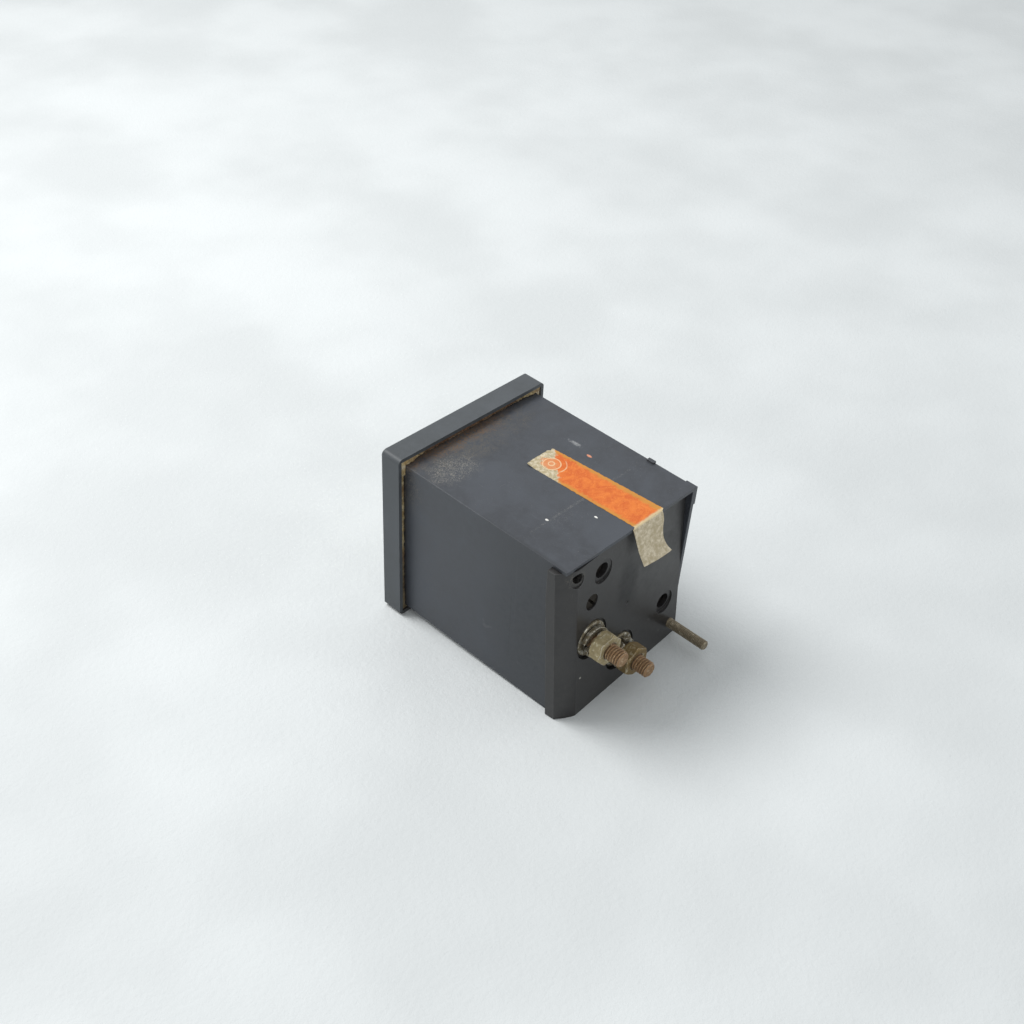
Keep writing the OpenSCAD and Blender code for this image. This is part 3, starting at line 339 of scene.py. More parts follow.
sleeveLook = {"base": "33363c", "baseLight": "3f434a", "fine": "454950", "toneSize": 16.0, "scratch": 0.35,
              "scratchSize": 1.6, "scratchColour": "6a6c6e", "wearAndHighlight": 0.75, "wearAndHighlightWidth": 0.3, "wearAndHighlightColour": "5c5e60",
              "dirtAndShade": 0.55, "dirtAndShadeReach": 1.5, "dirtAndShadeColour": "241d17", "dust": 0.32, "dustColour": "8d8b86",
              "rough": 0.36, "roughSpread": 0.12, "grainSize": 0.28, "ripple": 1.5, "bump": 0.35,
              "marks": [
                  # old glue smeared on the top beside the bezel
                  {"at": (3, 2, 21.5), "reach": (24, 9, 3), "inner": 0.3, "ragged": 1.4, "size": 4.0,
                   "amount": 0.75, "lines": 1.3, "low": 0.44, "high": 0.58, "colour": "54504a", "gloss": 0.25},
                  {"at": (6, 0, 21.5), "reach": (24, 4.5, 2), "inner": 0.3, "ragged": 1.2, "size": 3.0,
                   "amount": 0.8, "lines": 0.9, "low": 0.45, "high": 0.56, "colour": "6b5138", "gloss": 0.3},
                  {"at": (15, 8, 21.5), "reach": (9, 6, 2), "inner": 0.3, "ragged": 1.3, "size": 2.0,
                   "amount": 0.6, "lines": 0.7, "low": 0.5, "high": 0.57, "colour": "8a867d", "gloss": 0.3},
                  {"at": (21.7, 1, 16), "reach": (2, 5, 9), "inner": 0.2, "ragged": 1.5, "size": 2.0,
                   "amount": 0.6, "lines": 0.8, "low": 0.5, "high": 0.58, "colour": "6d6860", "gloss": 0.3},
                  # pale rub and chips on the top
                  {"at": (-13.5, 20.2, 21.56), "reach": (0.8, 2.4, 1), "inner": 0.3, "ragged": 1.8,
                   "size": 0.8, "amount": 0.8, "lines": 0.35, "low": 0.42, "high": 0.55, "colour": "a3a4a4"},
                  {"at": (-12.3, 25.8, 21.56), "reach": (0.42, 0.85, 1), "inner": 0.7, "ragged": 0.5,
                   "size": 0.5, "colour": "d08a6a", "gloss": 0.2},
                  {"at": (11.9, 35.1, 21.56), "reach": (0.35, 0.5, 1), "inner": 0.7, "ragged": 0.8,
                   "size": 0.5, "colour": "dcdad4", "gloss": 0.2},
                  {"at": (3.2, 41.8, 21.56), "reach": (0.28, 0.55, 1), "inner": 0.7, "ragged": 0.8,
                   "size": 0.5, "colour": "e6e4de", "gloss": 0.2},
                  # a dotted line of dust across the top
                  {"at": (0, 35.6, 21.5), "reach": (21, 0.5, 1), "inner": 0.3, "ragged": 1.6, "size": 1.2,
                   "amount": 0.75, "lines": 0.45, "low": 0.52, "high": 0.6, "colour": "7d7c78"},
                  {"at": (9, 36.5, 21.5), "reach": (6, 3, 1), "inner": 0.2, "ragged": 1.5, "size": 1.5,
                   "amount": 0.6, "lines": 0.4, "low": 0.58, "high": 0.64, "colour": "7d7c78"},
                  # faint upright marks on the side
                  {"at": (21.7, 34.8, -4), "reach": (1, 0.22, 15), "ragged": 0.5,
                   "size": 2.0, "amount": 0.4, "colour": "232529"},
                  {"at": (21.7, 36.0, 4), "reach": (1, 0.3, 18), "inner": 0.3, "ragged": 0.5,
                   "size": 2.0, "amount": 0.3, "colour": "505357"},
                  {"at": (21.7, 44, -2), "reach": (1.5, 26, 60), "inner": 0.1, "ragged": 0.3, "size": 8.0,
                   "amount": 0.75, "colour": "23262a"}]}
sleeveMat = caseMaterial("caseSleeveFinish", sleeveLook)

coverLook = {"base": "232222", "baseLight": "2c2b2b", "fine": "353332", "toneSize": 12.0, "scratch": 0.3,
             "scratchSize": 1.3, "scratchColour": "5d5c5a", "wearAndHighlight": 0.7, "wearAndHighlightWidth": 0.35, "wearAndHighlightColour": "505050",
             "dirtAndShade": 0.45, "dirtAndShadeReach": 1.2, "dirtAndShadeColour": "1c1713", "dust": 0.22, "dustColour": "79756e",
             "rough": 0.28, "roughSpread": 0.14, "grainSize": 0.3, "ripple": 1.8, "bump": 0.35,
             "marks": [
                 # painted light and shade round the loose label: a paler lit patch with a crisp rounded edge right of
                 # and under it
                 {"at": (-11.6, 50.5, 4.6), "reach": (8.6, 9, 8.2), "inner": 0.93, "ragged": 0.04,
                  "size": 3.0, "amount": 0.85, "colour": "3b3b3b", "gloss": 0.12},
                 {"at": (-15.8, 50.5, 13), "reach": (7, 9, 9), "inner": 0.8, "ragged": 0.2,
                  "size": 3.0, "amount": 0.6, "colour": "3b3b3b", "gloss": 0.12},
                 # the label's painted shadow, dark and soft, left of it
                 {"at": (0.3, 50.5, 5.5), "reach": (5.0, 9, 9.5), "inner": 0.35, "ragged": 0.5,
                  "size": 4.0, "amount": 0.85, "colour": "0d0d0e", "gloss": 0.1},
                 # grit
                 {"at": (16.8, 52.0, -11.4), "reach": (0.35, 3, 0.3), "inner": 0.7, "ragged": 0.8,
                  "size": 0.5, "colour": "b6b2aa", "gloss": 0.2},
                 # painted brownish shadow under the overhanging top at the far corner
                 {"at": (-15, 50, 20.5), "reach": (8, 3, 1.6), "inner": 0.4, "ragged": 0.8, "size": 1.5,
                  "amount": 0.6, "colour": "1a1614"},
                 # pale bruised plastic round the broken hole
                 {"at": (18.2, 50.5, 18.0), "reach": (3.2, 4, 2.8), "inner": 0.3, "ragged": 1.6,
                  "size": 1.0, "amount": 0.75, "lines": 0.6, "low": 0.5, "high": 0.6, "colour": "6a645b",
                  "gloss": 0.3}]}
coverMat = caseMaterial("rearCoverFinish", coverLook)

bezelLook = {"base": "3e4245", "baseLight": "494d51", "fine": "52565a", "toneSize": 14.0, "scratch": 0.2,
             "scratchSize": 1.4, "scratchColour": "6c6e6e", "wearAndHighlight": 0.6, "wearAndHighlightWidth": 0.28, "wearAndHighlightColour": "5d6062",
             "dirtAndShade": 0.75, "dirtAndShadeReach": 2.2, "dirtAndShadeColour": "3a2c1c", "dust": 0.2, "dustColour": "84827c",
             "rough": 0.5, "roughSpread": 0.1, "grainSize": 0.22, "ripple": 1.2, "bump": 0.3,
             "marks": [
                 # rust brown and old cement in the groove behind the bezel
                 {"at": (0, -1.2, 22.3), "reach": (24, 1.4, 0.85), "ragged": 0.15,
                  "size": 1.5, "amount": 0.75, "colour": "4b3523", "gloss": 0.3}]}
bezelMat = caseMaterial("bezelFinish", bezelLook)

cementLook = {"base": "b39a68", "light": "cfbd92", "dark": "3b2b1c", "rust": "6a4222", "cream": "b9ad93"}


def cementMaterial():
    material, tree, shader = newMaterial("cementFinish")
    spot = place(tree)
    broad = between(tree, noiseOf(tree, spot, 2.2, 5.0, 0.65), 0.38, 0.6)
    fine = between(tree, noiseOf(tree, spot, 0.5, 4.0, 0.7), 0.4, 0.62)
    colour = mix(tree, broad, cementLook["base"], cementLook["light"])
    colour = over(tree, colour, fine, 0.5, cementLook["dark"])
    rust = maskOf(tree, "patches", Size=5.0, Low=0.45, High=0.6, Shift=(9, 2, 4))
    colour = over(tree, colour, rust, 0.6, cementLook["rust"])
    # grey brown lumps low down, pale tan high up
    height = addNode(tree, "ShaderNodeSeparateXYZ", {0: spot}).outputs[2]
    colour = mix(tree, between(tree, height, 4.0, -14.0, 0.0, 0.75), colour, "4a4238")
    # rusty along the top between the corners, with a pale bead against the case
    across = calc(tree, "ABSOLUTE", addNode(tree, "ShaderNodeSeparateXYZ", {0: spot}).outputs[0], 0)
    rusty = calc(tree, "MULTIPLY", between(tree, across, 17.5, 14.5, 0.0, 0.85), between(tree, height, 18.0, 20.0))
    colour = mix(tree, rusty, colour, mix(tree, fine, "6b4630", "3c2619"))
    bead = calc(tree, "MULTIPLY", between(tree, height, 21.95, 21.7), between(tree, height, 20.5, 21.2))
    colour = over(tree, colour, bead, broad, cementLook["cream"])
    # dirt and painted shade in hollows
    dirtAndShade = maskOf(tree, "cornerDirtAndShade", Reach=0.8, Size=0.8)
    colour = over(tree, colour, dirtAndShade, 0.35, "2a1e14")
    feed(tree, shader, Base_Color=colour, Roughness=calc(tree, "MULTIPLY_ADD", fine, -0.3, 0.75))
    bump(tree, shader, useGroup(tree, "grain", Size=0.25, Ripple=1.0)["Height"], 0.7, 0.08)
    return material


cementMat = cementMaterial()

labelForm = {"frontY": 17.5, "edgeY": 50.2, "left": 0.8, "skew": -0.0372, "widthFront": 8.9, "widthRear": 9.8,
             "widthMiddle": 9.2, "lift": 0.03, "thick": 0.11, "rows": 120, "columns": 30, "flap": 11.6,
             # the hanging end: share down, y behind the edge, drop, left edge, right edge
             "hang": [(0.0, 0.1, 0.0, 0.45, -9.35), (0.06, 0.42, 0.45, 0.42, -9.5), (0.2, 0.75, 2.1, 0.1, -9.75),
                      (0.4, 1.0, 4.4, -0.55, -9.35), (0.6, 1.5, 6.5, -0.95, -9.1), (0.8, 2.35, 8.4, -1.2, -9.45),
                      (1.0, 3.35, 9.9, -1.3, -10.3)]}
labelLook = {"orange": "dd7a35", "deep": "c9602a", "ochre": "c08a3e", "cream": "cfc4ab", "creamDark": "a89a78",
             "back": "e0d4bc", "backDark": "b8aa8c", "frayed": "cfbc94"}


def labelMaterial():
    material, tree, shader = newMaterial("labelPaper", Specular_IOR_Level=0.3)
    spot = place(tree)
    x, y, z = addNode(tree, "ShaderNodeSeparateXYZ", {0: spot}).outputs
    mottle = between(tree, noiseOf(tree, spot, 2.6, 6.0, 0.7, 0.6), 0.35, 0.66)
    fibre = noiseOf(tree, spot, 0.28, 4.0, 0.7)
    colour = mix(tree, mottle, labelLook["deep"], labelLook["orange"])
    colour = mix(tree, between(tree, fibre, 0.52, 0.72, 0.0, 0.5), colour, "ee9a5a")
    # the label runs askew, so its own edges are followed
    fromFront = calc(tree, "SUBTRACT", y, labelForm["frontY"])
    shift = calc(tree, "MULTIPLY_ADD", fromFront, -labelForm["skew"], x)
    across = calc(tree, "DIVIDE", calc(tree, "SUBTRACT", labelForm["left"], shift), labelForm["widthMiddle"])
    fromEdge = calc(tree, "MINIMUM", across, calc(tree, "SUBTRACT", 1.0, across))
    wobble = calc(tree, "MULTIPLY", calc(tree, "SUBTRACT", noiseOf(tree, spot, 1.4, 5.0, 0.7), 0.5), 0.34)
    edge = between(tree, calc(tree, "ADD", fromEdge, wobble), 0.16, 0.02)
    colour = over(tree, colour, edge, 0.85, labelLook["ochre"])
    # worn to cream at the front end, most of it along the near side
    torn = calc(tree, "MULTIPLY", calc(tree, "SUBTRACT", noiseOf(tree, spot, 2.2, 6.0, 0.72), 0.5), 9.0)
    front = calc(tree, "ADD", calc(tree, "MULTIPLY_ADD", across, 9.5, y), torn)
    worn = between(tree, front, 28.6, 27.6)
    stained = between(tree, noiseOf(tree, spot, 0.9, 5.0, 0.7), 0.4, 0.65)
    cream = mix(tree, stained, labelLook["creamDark"], labelLook["cream"])
    colour = mix(tree, worn, colour, cream)
    # islands of the old print left on the worn end, with a few pale scrawled lines
    islands = maskOf(tree, "mark", Centre=(-3.4, 21.6, 21.6), Reach=(3.0, 3.9, 2), Inner=0.55, Outer=0.7,
                     Ragged=1.1, Size=1.6)
    colour = over(tree, colour, islands, 0.85, "d5824e")
    rings = addNode(tree, "ShaderNodeTexWave", {"Vector": vecCalc(tree, "SUBTRACT", spot, (-3.6, 21.8, 21.6)),
                                               "Scale": 0.22, "Distortion": 5.0, "Detail": 2.0, "Detail Scale": 0.35},
                    wave_type="RINGS", rings_direction="SPHERICAL").outputs[1]
    pale = between(tree, rings, 0.86, 0.93)
    nearPrint = maskOf(tree, "mark", Centre=(-3.8, 22.2, 21.6), Reach=(3.6, 4.6, 2), Inner=0.7, Outer=0.9,
                       Ragged=0.6, Size=2.0)
    colour = mix(tree, calc(tree, "MULTIPLY", calc(tree, "MULTIPLY", pale, nearPrint), 0.75), colour, "e0c39a")
    # frayed crease, and the bare back of the paper below it
    crease = between(tree, calc(tree, "MULTIPLY_ADD", wobble, 2.4, y), 49.3, 50.0)
    colour = mix(tree, crease, colour, labelLook["frayed"])
    cloudy = between(tree, noiseOf(tree, spot, 1.1, 6.0, 0.72), 0.38, 0.68)
    back = mix(tree, cloudy, labelLook["backDark"], labelLook["back"])
    hang = calc(tree, "MAXIMUM", between(tree, y, 50.25, 50.5), between(tree, z, 21.3, 20.9))
    colour = mix(tree, hang, colour, back)
    specks = between(tree, noiseOf(tree, spot, 0.5, 3.0, 0.8), 0.66, 0.72)
    colour = over(tree, colour, specks, 0.4, "7a5a34")
    feed(tree, shader, Base_Color=colour, Roughness=calc(tree, "MULTIPLY_ADD", fibre, 0.2, 0.62))
    bump(tree, shader, calc(tree, "ADD", fibre, mottle), 0.5, 0.05)
    return material


labelMat = labelMaterial()

# plated terminals: one nut is pale and rough with salts, the other is brown
nutPaleMat = metalMaterial("nutPalePlating", {"clean": "ece6ce", "stain": "a19371", "size": 0.9, "amount": 0.62,
                                            "dirtAndShade": 0.6, "dirtAndShadeColour": "564934", "wearAndHighlight": 0.7, "wearAndHighlightWidth": 0.2,
                                            "bright": "f3f3f3", "rough": 0.3, "roughSpread": 0.3, "dull": 0.5,
                                            "grain": 0.35, "bump": 0.9, "depth": 0.12})
nutBrownMat = metalMaterial("nutBrownPlating", {"clean": "d0c3a4", "stain": "816d48", "size": 1.4, "amount": 0.6,
                                              "dirtAndShade": 0.6, "dirtAndShadeColour": "443928", "wearAndHighlight": 0.55, "wearAndHighlightWidth": 0.18,
                                              "bright": "f3f3f3", "rough": 0.3, "roughSpread": 0.25, "dull": 0.4,
                                              "grain": 0.25, "bump": 0.6, "depth": 0.06})
threadMat = metalMaterial("threadBrass", {"clean": "e0c7a4", "stain": "907253", "size": 0.8, "amount": 0.62,
                                        "dirtAndShade": 0.8, "dirtAndShadeColour": "403224", "wearAndHighlight": 0.5, "wearAndHighlightWidth": 0.08,
                                        "bright": "f3f3ea", "rough": 0.34, "roughSpread": 0.2, "dull": 0.4,
                                        "grain": 0.12, "bump": 0.5, "depth": 0.04})
washerMat = metalMaterial("washerPlating", {"clean": "c9c6bb", "stain": "746a55", "size": 1.1, "amount": 0.5,
                                          "dirtAndShade": 0.75, "dirtAndShadeColour": "241d15", "wearAndHighlight": 0.8, "wearAndHighlightWidth": 0.14,
                                          "bright": "efece2", "rough": 0.26, "roughSpread": 0.3, "grain": 0.2,
                                          "bump": 0.4, "depth": 0.03})
studMat = metalMaterial("mountingStudSteel", {"clean": "cec4ad", "stain": "807561", "size": 1.0, "amount": 0.6,
                                            "dirtAndShade": 0.6, "wearAndHighlight": 0.4, "wearAndHighlightWidth": 0.06, "bright": "f3f3e5",
                                            "rough": 0.38, "roughSpread": 0.2, "dull": 0.5, "bump": 0.4})
darkSteelMat = metalMaterial("darkScrewSteel", {"clean": "4a4742", "stain": "28231d", "size": 0.9, "amount": 0.6,
                                              "dirtAndShade": 0.7, "wearAndHighlight": 0.3, "bright": "77726a", "rough": 0.42})
smallSteelMat = metalMaterial("smallSteel", {"clean": "bdbdb8", "stain": "77715f", "size": 0.9, "amount": 0.3})
brassMat = metalMaterial("turnedBrass", {"clean": "c8a45c", "stain": "7b5a2b", "size": 1.6, "amount": 0.35,
                                         "dirtAndShade": 0.4})
ironMat = metalMaterial("yokeIron", {"clean": "a2a5aa", "stain": "6b6a63", "size": 2.5, "amount": 0.35, "rough": 0.4})
magnetMat = metalMaterial("magnetAlloy", {"clean": "62656b", "stain": "3b3a38", "size": 1.8, "amount": 0.4,
                                          "rough": 0.45})
sheetMat = metalMaterial("aluminiumSheet", {"clean": "cfd1d3", "stain": "8f8f8b", "size": 2.2, "amount": 0.3,
                                            "rough": 0.36})
springMat = metalMaterial("hairspringBronze", {"clean": "d0a860", "stain": "8a6632", "size": 1.0, "amount": 0.2})
pointerMat = plainMaterial("pointerBlack", {"base": "0b0b0c", "second": "151516", "size": 2.0, "dirtAndShade": 0.1,
                                            "rough": 0.4})
laminateMat = plainMaterial("brownLaminate", {"base": "4a2d18", "second": "5e3c22", "size": 5.0, "rough": 0.5})
bobbinMat = plainMaterial("creamBobbin", {"base": "c9bfa6", "second": "b5a98c", "size": 3.0, "rough": 0.45})
wireMat = plainMaterial("redWireSleeve", {"base": "6e1410", "second": "8a1d16", "size": 1.5, "rough": 0.4})
screwMat = plainMaterial("blackZeroScrew", {"base": "151516", "second": "232324", "size": 1.5, "rough": 0.38,
                                           "dirtAndShade": 0.5, "dirtAndShadeColour": "5b564e"})
dialMat = plainMaterial("dialWhitePaint", {"base": "dfdbcb", "second": "d3ccb6", "size": 9.0, "rough": 0.5,
                                          "dirtAndShade": 0.25, "dirtAndShadeColour": "9c8b66", "bump": 0.1})
inkMat = plainMaterial("dialInk", {"base": "111112", "second": "1c1b1b", "size": 1.5, "dirtAndShade": 0.0, "rough": 0.5})


def windingMaterial():
    # fine turns of enamelled wire, side by side
    material, tree, shader = newMaterial("enamelledWinding")
    spot = place(tree)
    y = addNode(tree, "ShaderNodeSeparateXYZ", {0: spot}).outputs[1]
    turns = calc(tree, "ABSOLUTE", calc(tree, "SINE", calc(tree, "MULTIPLY", y, 14.0)))
    tone = between(tree, noiseOf(tree, spot, 1.2, 4.0), 0.35, 0.65)
    colour = mix(tree, tone, "7a3414", "94481f")
    colour = mix(tree, between(tree, turns, 0.45, 0.0), colour, "2a1208")
    feed(tree, shader, Base_Color=colour, Roughness=calc(tree, "MULTIPLY_ADD", tone, 0.15, 0.28),
         Metallic=calc(tree, "MULTIPLY_ADD", tone, 0.2, 0.6))
    bump(tree, shader, turns, 0.6, 0.05)
    return material


windingMat = windingMaterial()


def windowMaterial():
    material, tree, shader = newMaterial("clearWindow", IOR=1.49, Transmission_Weight=1.0, Metallic=0.0)
    spot = place(tree)
    haze = between(tree, noiseOf(tree, spot, 5.0, 5.0, 0.6), 0.4, 0.75)
    scratch = maskOf(tree, "scratches", Size=1.4, Amount=0.5)
    rough = calc(tree, "MULTIPLY_ADD", scratch, 0.25, calc(tree, "MULTIPLY_ADD", haze, 0.05, 0.015))
    feed(tree, shader, Base_Color=mix(tree, haze, "f4f7f6", "eef0ea"), Roughness=rough)
    lets = addNode(tree, "ShaderNodeBsdfTransparent", {"Color": (0.9, 0.92, 0.91, 1)})
    path = addNode(tree, "ShaderNodeLightPath")
    both = addNode(tree, "ShaderNodeMixShader", {0: path.outputs["Is Shadow Ray"], 1: shader.outputs[0],
                                                 2: lets.outputs[0]})
    tree.links.new(both.outputs[0], tree.nodes["Material Output"].inputs["Surface"])
    return material


windowMat = windowMaterial()
print("stage: materials ready")


# mesh helpers
def shadeByAngle(mesh, degrees=32):
    bm = bmesh.new()
    bm.from_mesh(mesh)
    bm.normal_update()
    for face in bm.faces:
        face.smooth = True
    for edge in bm.edges:
        edge.smooth = len(edge.link_faces) == 2 and edge.calc_face_angle(0) < math.radians(degrees)
    bm.to_mesh(mesh)
    bm.free()


def pieceOf(mesh, name, material):
    piece = bpy.data.objects.new(name, mesh)
    bpy.context.scene.collection.objects.link(piece)
    mesh.materials.clear()
    mesh.materials.append(material)
    return piece


def meshPiece(name, points, faces, material, degrees=32):
    mesh = bpy.data.meshes.new(name)
    mesh.from_pydata([Vector(p) * mm for p in points], [], faces)
    mesh.validate()
    shadeByAngle(mesh, degrees)
    return pieceOf(mesh, name, material)


def addWeighted(piece):
    weighted = piece.modifiers.new("weighted", "WEIGHTED_NORMAL")
    weighted.keep_sharp = True
    return piece


def stands(piece, slotName, body, *replaced):
    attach(piece, body)
    if replaced:
        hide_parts(*replaced)
    return piece


def softCopy(nodeName, pieceName, material, rounds, limit=28):
    # a copy of the CAD shape with small rounds on its edges; rounds lists (shortest edge, radius)
    bm = bmesh.new()
    bm.from_mesh(nodes[nodeName].data)
    bmesh.ops.remove_doubles(bm, verts=bm.verts, dist=0.004 * mm)
    bmesh.ops.dissolve_limit(bm, angle_limit=math.radians(1.0), verts=bm.verts, edges=bm.edges)
    bm.normal_update()
    sharp = [e for e in bm.edges if len(e.link_faces) == 2 and e.calc_face_angle(0) > math.radians(limit)]
    for shortest, radius in rounds:
        edges = [e for e in sharp if e.is_valid and e.calc_length() > shortest * mm]
        sharp = [e for e in sharp if e.is_valid and e not in edges]
        bmesh.ops.bevel(bm, geom=edges, offset=radius * mm, segments=3, profile=0.5, affect="EDGES",
                        clamp_overlap=True)
    mesh = bpy.data.meshes.new(pieceName)
    bm.to_mesh(mesh)
    bm.free()
    shadeByAngle(mesh, 30)
    return addWeighted(pieceOf(mesh, pieceName, material))


def around(axis, radius, turn, y=0.0):
    # the point at this radius and turn round an axis that runs along Y
    return Vector((axis[0] + radius * math.cos(turn), y, axis[1] + radius * math.sin(turn)))


def ringFaces(rings, columns, closed=False):
    # quads from each ring to the next one, and from the last to the first when closed
    faces = []
    for r in range(rings if closed else rings - 1):
        n = (r + 1) % rings
        for c in range(columns):
            d = (c + 1) % columns
            faces.append((r * columns + c, r * columns + d, n * columns + d, n * columns + c))
    return faces


def sweptRows(rows):
    # rows of equal rings become a skin; the ends close on a centre point
    count = len(rows[0])
    points, faces = [p for ring in rows for p in ring], ringFaces(len(rows), count)
    for r, flip in ((0, True), (len(rows) - 1, False)):
        points.append(tuple(sum((Vector(p) for p in rows[r]), Vector()) / count))
        for c in range(count):
            tri = (r * count + (c + 1) % count, r * count + c, len(points) - 1)
            faces.append(tri if flip else tri[::-1])
    return points, faces


def flipInside(piece):
    bm = bmesh.new()
    bm.from_mesh(piece.data)
    bmesh.ops.recalc_face_normals(bm, faces=bm.faces)
    bm.to_mesh(piece.data)
    bm.free()
    return piece


# case, cover and bezel keep their CAD shape, with the moulded rounds added
caseParts = {"case_sleeve": ("caseSleeve", "case_paint", sleeveMat, [(2.5, 0.26)]),
             "rear_cover": ("rearCover", "cover_moulding", coverMat, [(2.5, 0.3), (0.0, 0.07)]),
             "bezel": ("bezelFrame", "bezel_plastic", bezelMat, [(2.5, 0.28), (0.0, 0.06)])}
for nodeName, (pieceName, slotName, material, rounds) in caseParts.items():
    stands(softCopy(nodeName, pieceName, material, rounds), slotName, caseBody, nodeName)
print("stage: case pieces ready")


cementForm = {"voxel": 0.2, "lump": 0.16, "lumpSize": 1.1, "fine": 0.06, "fineSize": 0.35, "grow": 0.03}


def lumpyCopy(nodeName, pieceName, look, material):
    # the CAD solid remeshed evenly and then made lumpy
    mesh = nodes[nodeName].data.copy()
    piece = pieceOf(mesh, pieceName, material)
    bm = bmesh.new()
    bm.from_mesh(mesh)
    bmesh.ops.remove_doubles(bm, verts=bm.verts, dist=0.004 * mm)
    bm.to_mesh(mesh)
    bm.free()
    even = piece.modifiers.new("even", "REMESH")
    even.mode = "VOXEL"
    even.voxel_size = look["voxel"] * mm
    graph = bpy.context.evaluated_depsgraph_get()
    evenMesh = bpy.data.meshes.new_from_object(piece.evaluated_get(graph))
    piece.modifiers.clear()
    piece.data = evenMesh
    evenMesh.materials.clear()
    evenMesh.materials.append(material)
    for vertex in evenMesh.vertices:
        at = vertex.co / mm
        push = look["lump"] * (noise.fractal(at / look["lumpSize"], 0.6, 2.0, 4))
        push += look["fine"] * noise.noise(at / look["fineSize"])
        vertex.co = (at + vertex.normal * (push + look["grow"])) * mm
    for face in evenMesh.polygons:
        face.use_smooth = True
    return piece


cementPiece = lumpyCopy("corner_cement", "grooveCement", cementForm, cementMat)
stands(cementPiece, "cement", caseBody, "corner_cement")


def threadRadius(look, radius, turn, y, start, end):
    # a rounded V thread that fades in at its start and is cut by the end chamfer
    phase = (y - start) / look["pitch"] - turn / (2 * math.pi)
    wave = abs(2 * (phase % 1.0) - 1)
    crest = min(1.0, max(0.0, (wave - 0.12) / 0.66))
    fade = min(1.0, max(0.0, (y - start) / look["pitch"]))
    cut = look["depth"] * (1 - crest * crest * (3 - 2 * crest)) * fade
    chamfer = radius - look["tip"] + (end - y) * look["slope"]
    return min(radius - cut, chamfer)


def threadedStud(pieceName, nodeName, look, material, threadFrom):
    low, high = lowHigh(nodeName)
    axis, radius = axisOf(nodeName), (high.x - low.x) / 2
    turns = [2 * math.pi * c / look["columns"] for c in range(look["columns"])]
    levels = [low.y, low.y + 0.3, threadFrom - 0.3]
    count = int((high.y - threadFrom) / look["pitch"] * look["rowsPerTurn"])
    levels += [threadFrom + (high.y - threadFrom) * i / count for i in range(count + 1)]
    rows = []
    for y in levels:
        ring = []
        for turn in turns:
            r = radius - 0.01 if y < threadFrom else threadRadius(look, radius, turn, y, threadFrom, high.y)
            p = around(axis, r, turn, y)
            dent = look["dent"] * noise.fractal(p / 0.5, 0.6, 2.0, 3) if y > threadFrom else 0
            r -= abs(dent)
            ring.append(around(axis, r, turn, y))
        rows.append(ring)
    for share in (0.8, 0.5, 0.2):
        ring = []
        for turn in turns:
            r = (radius - look["tip"]) * share
            p = around(axis, r, turn, high.y)
            sink = 0.03 + look["dent"] * abs(noise.fractal(p / 0.6, 0.6, 2.0, 3))
            ring.append((p.x, high.y - sink, p.z))
        rows.append(ring)
    points, faces = sweptRows(rows)
    return flipInside(meshPiece(pieceName, points, faces, material, 50))


nutLow, nutHigh = lowHigh("terminal_nuts")
coverBack = lowHigh("rear_cover")[1].y
terminalThread = {"pitch": 0.7, "depth": 0.36, "tip": 0.42, "slope": 1.1, "columns": 40, "rowsPerTurn": 12,
                  "dent": 0.05, "hidden": 1.2}
studThread = {"pitch": 0.45, "depth": 0.22, "tip": 0.3, "slope": 1.1, "columns": 28, "rowsPerTurn": 9,
              "dent": 0.03, "hidden": 2.4}
for pieceName, nodeName in (("terminalStudPositive", "terminal_stud_positive"),
                            ("terminalStudNegative", "terminal_stud_negative")):
    piece = threadedStud(pieceName, nodeName, terminalThread, threadMat, nutHigh.y - terminalThread["hidden"])
    stands(piece, "plated_brass", caseBody, nodeName)
piece = threadedStud("mountingStud", "mounting_stud", studThread, studMat, coverBack - studThread["hidden"])
stands(piece, "dark_steel", caseBody, "mounting_stud")


positiveAxis, negativeAxis = axisOf("terminal_stud_positive"), axisOf("terminal_stud_negative")


def hexNut(pieceName, axis, turnDegrees, look, material):
    # a hexagon nut with arcs where the chamfers meet the flats, and a rough skin
    across, bore, low, high = look["across"], look["bore"], nutLow.y, nutHigh.y
    middle, halfWay = (low + high) / 2, (bore + across / 2) / 2 + 0.1
    start = math.radians(-turnDegrees)
    steps = [0, 0.08, 0.16, 0.26, 0.38, 0.55, 0.8]
    levels = [low + s for s in steps] + [middle - 0.4, middle + 0.4] + [high - s for s in steps[::-1]]
    rings = [(low, None, bore + 0.25), (low, None, halfWay)]
    rings += [(y, True, 0) for y in levels]
    rings += [(high, None, halfWay), (high, None, bore + 0.25), (high - 0.25, None, bore), (low + 0.25, None, bore)]
    points, columns = [], 120
    for y, outer, fixed in rings:
        for c in range(columns):
            turn = 2 * math.pi * c / columns
            r = fixed
            if outer:
                corner = (math.degrees(turn) + 30) % 60 - 30
                r = across / 2 / math.cos(math.radians(30 - abs(corner)))
                edge = min(y - low, high - y)
                r = min(r, across / 2 * 0.985 + edge * 1.73, across / math.sqrt(3) - 0.08)
            p = around(axis, r, start + turn, y)
            if fixed != bore:
                skin = look["rough"] * noise.fractal(p / look["roughSize"], 0.7, 2.0, 4)
                skin = min(skin, look["rough"] * 0.25)
                r += skin
                level = y + min(0, skin) if y > middle else y + max(0, -skin)
                p = around(axis, r, start + turn, level)
            points.append(p)
    faces = ringFaces(len(rings), columns, closed=True)
    return flipInside(meshPiece(pieceName, points, faces, material, 38))


nutForm = {"across": 7.0, "bore": 2.02, "rough": 0.16, "roughSize": 0.7}
for piece in (hexNut("nutPositive", positiveAxis, 12, nutForm, nutPaleMat),
              hexNut("nutNegative", negativeAxis, 27, dict(nutForm, rough=0.05), nutBrownMat)):
    stands(piece, "plated_brass", caseBody, "terminal_nuts")


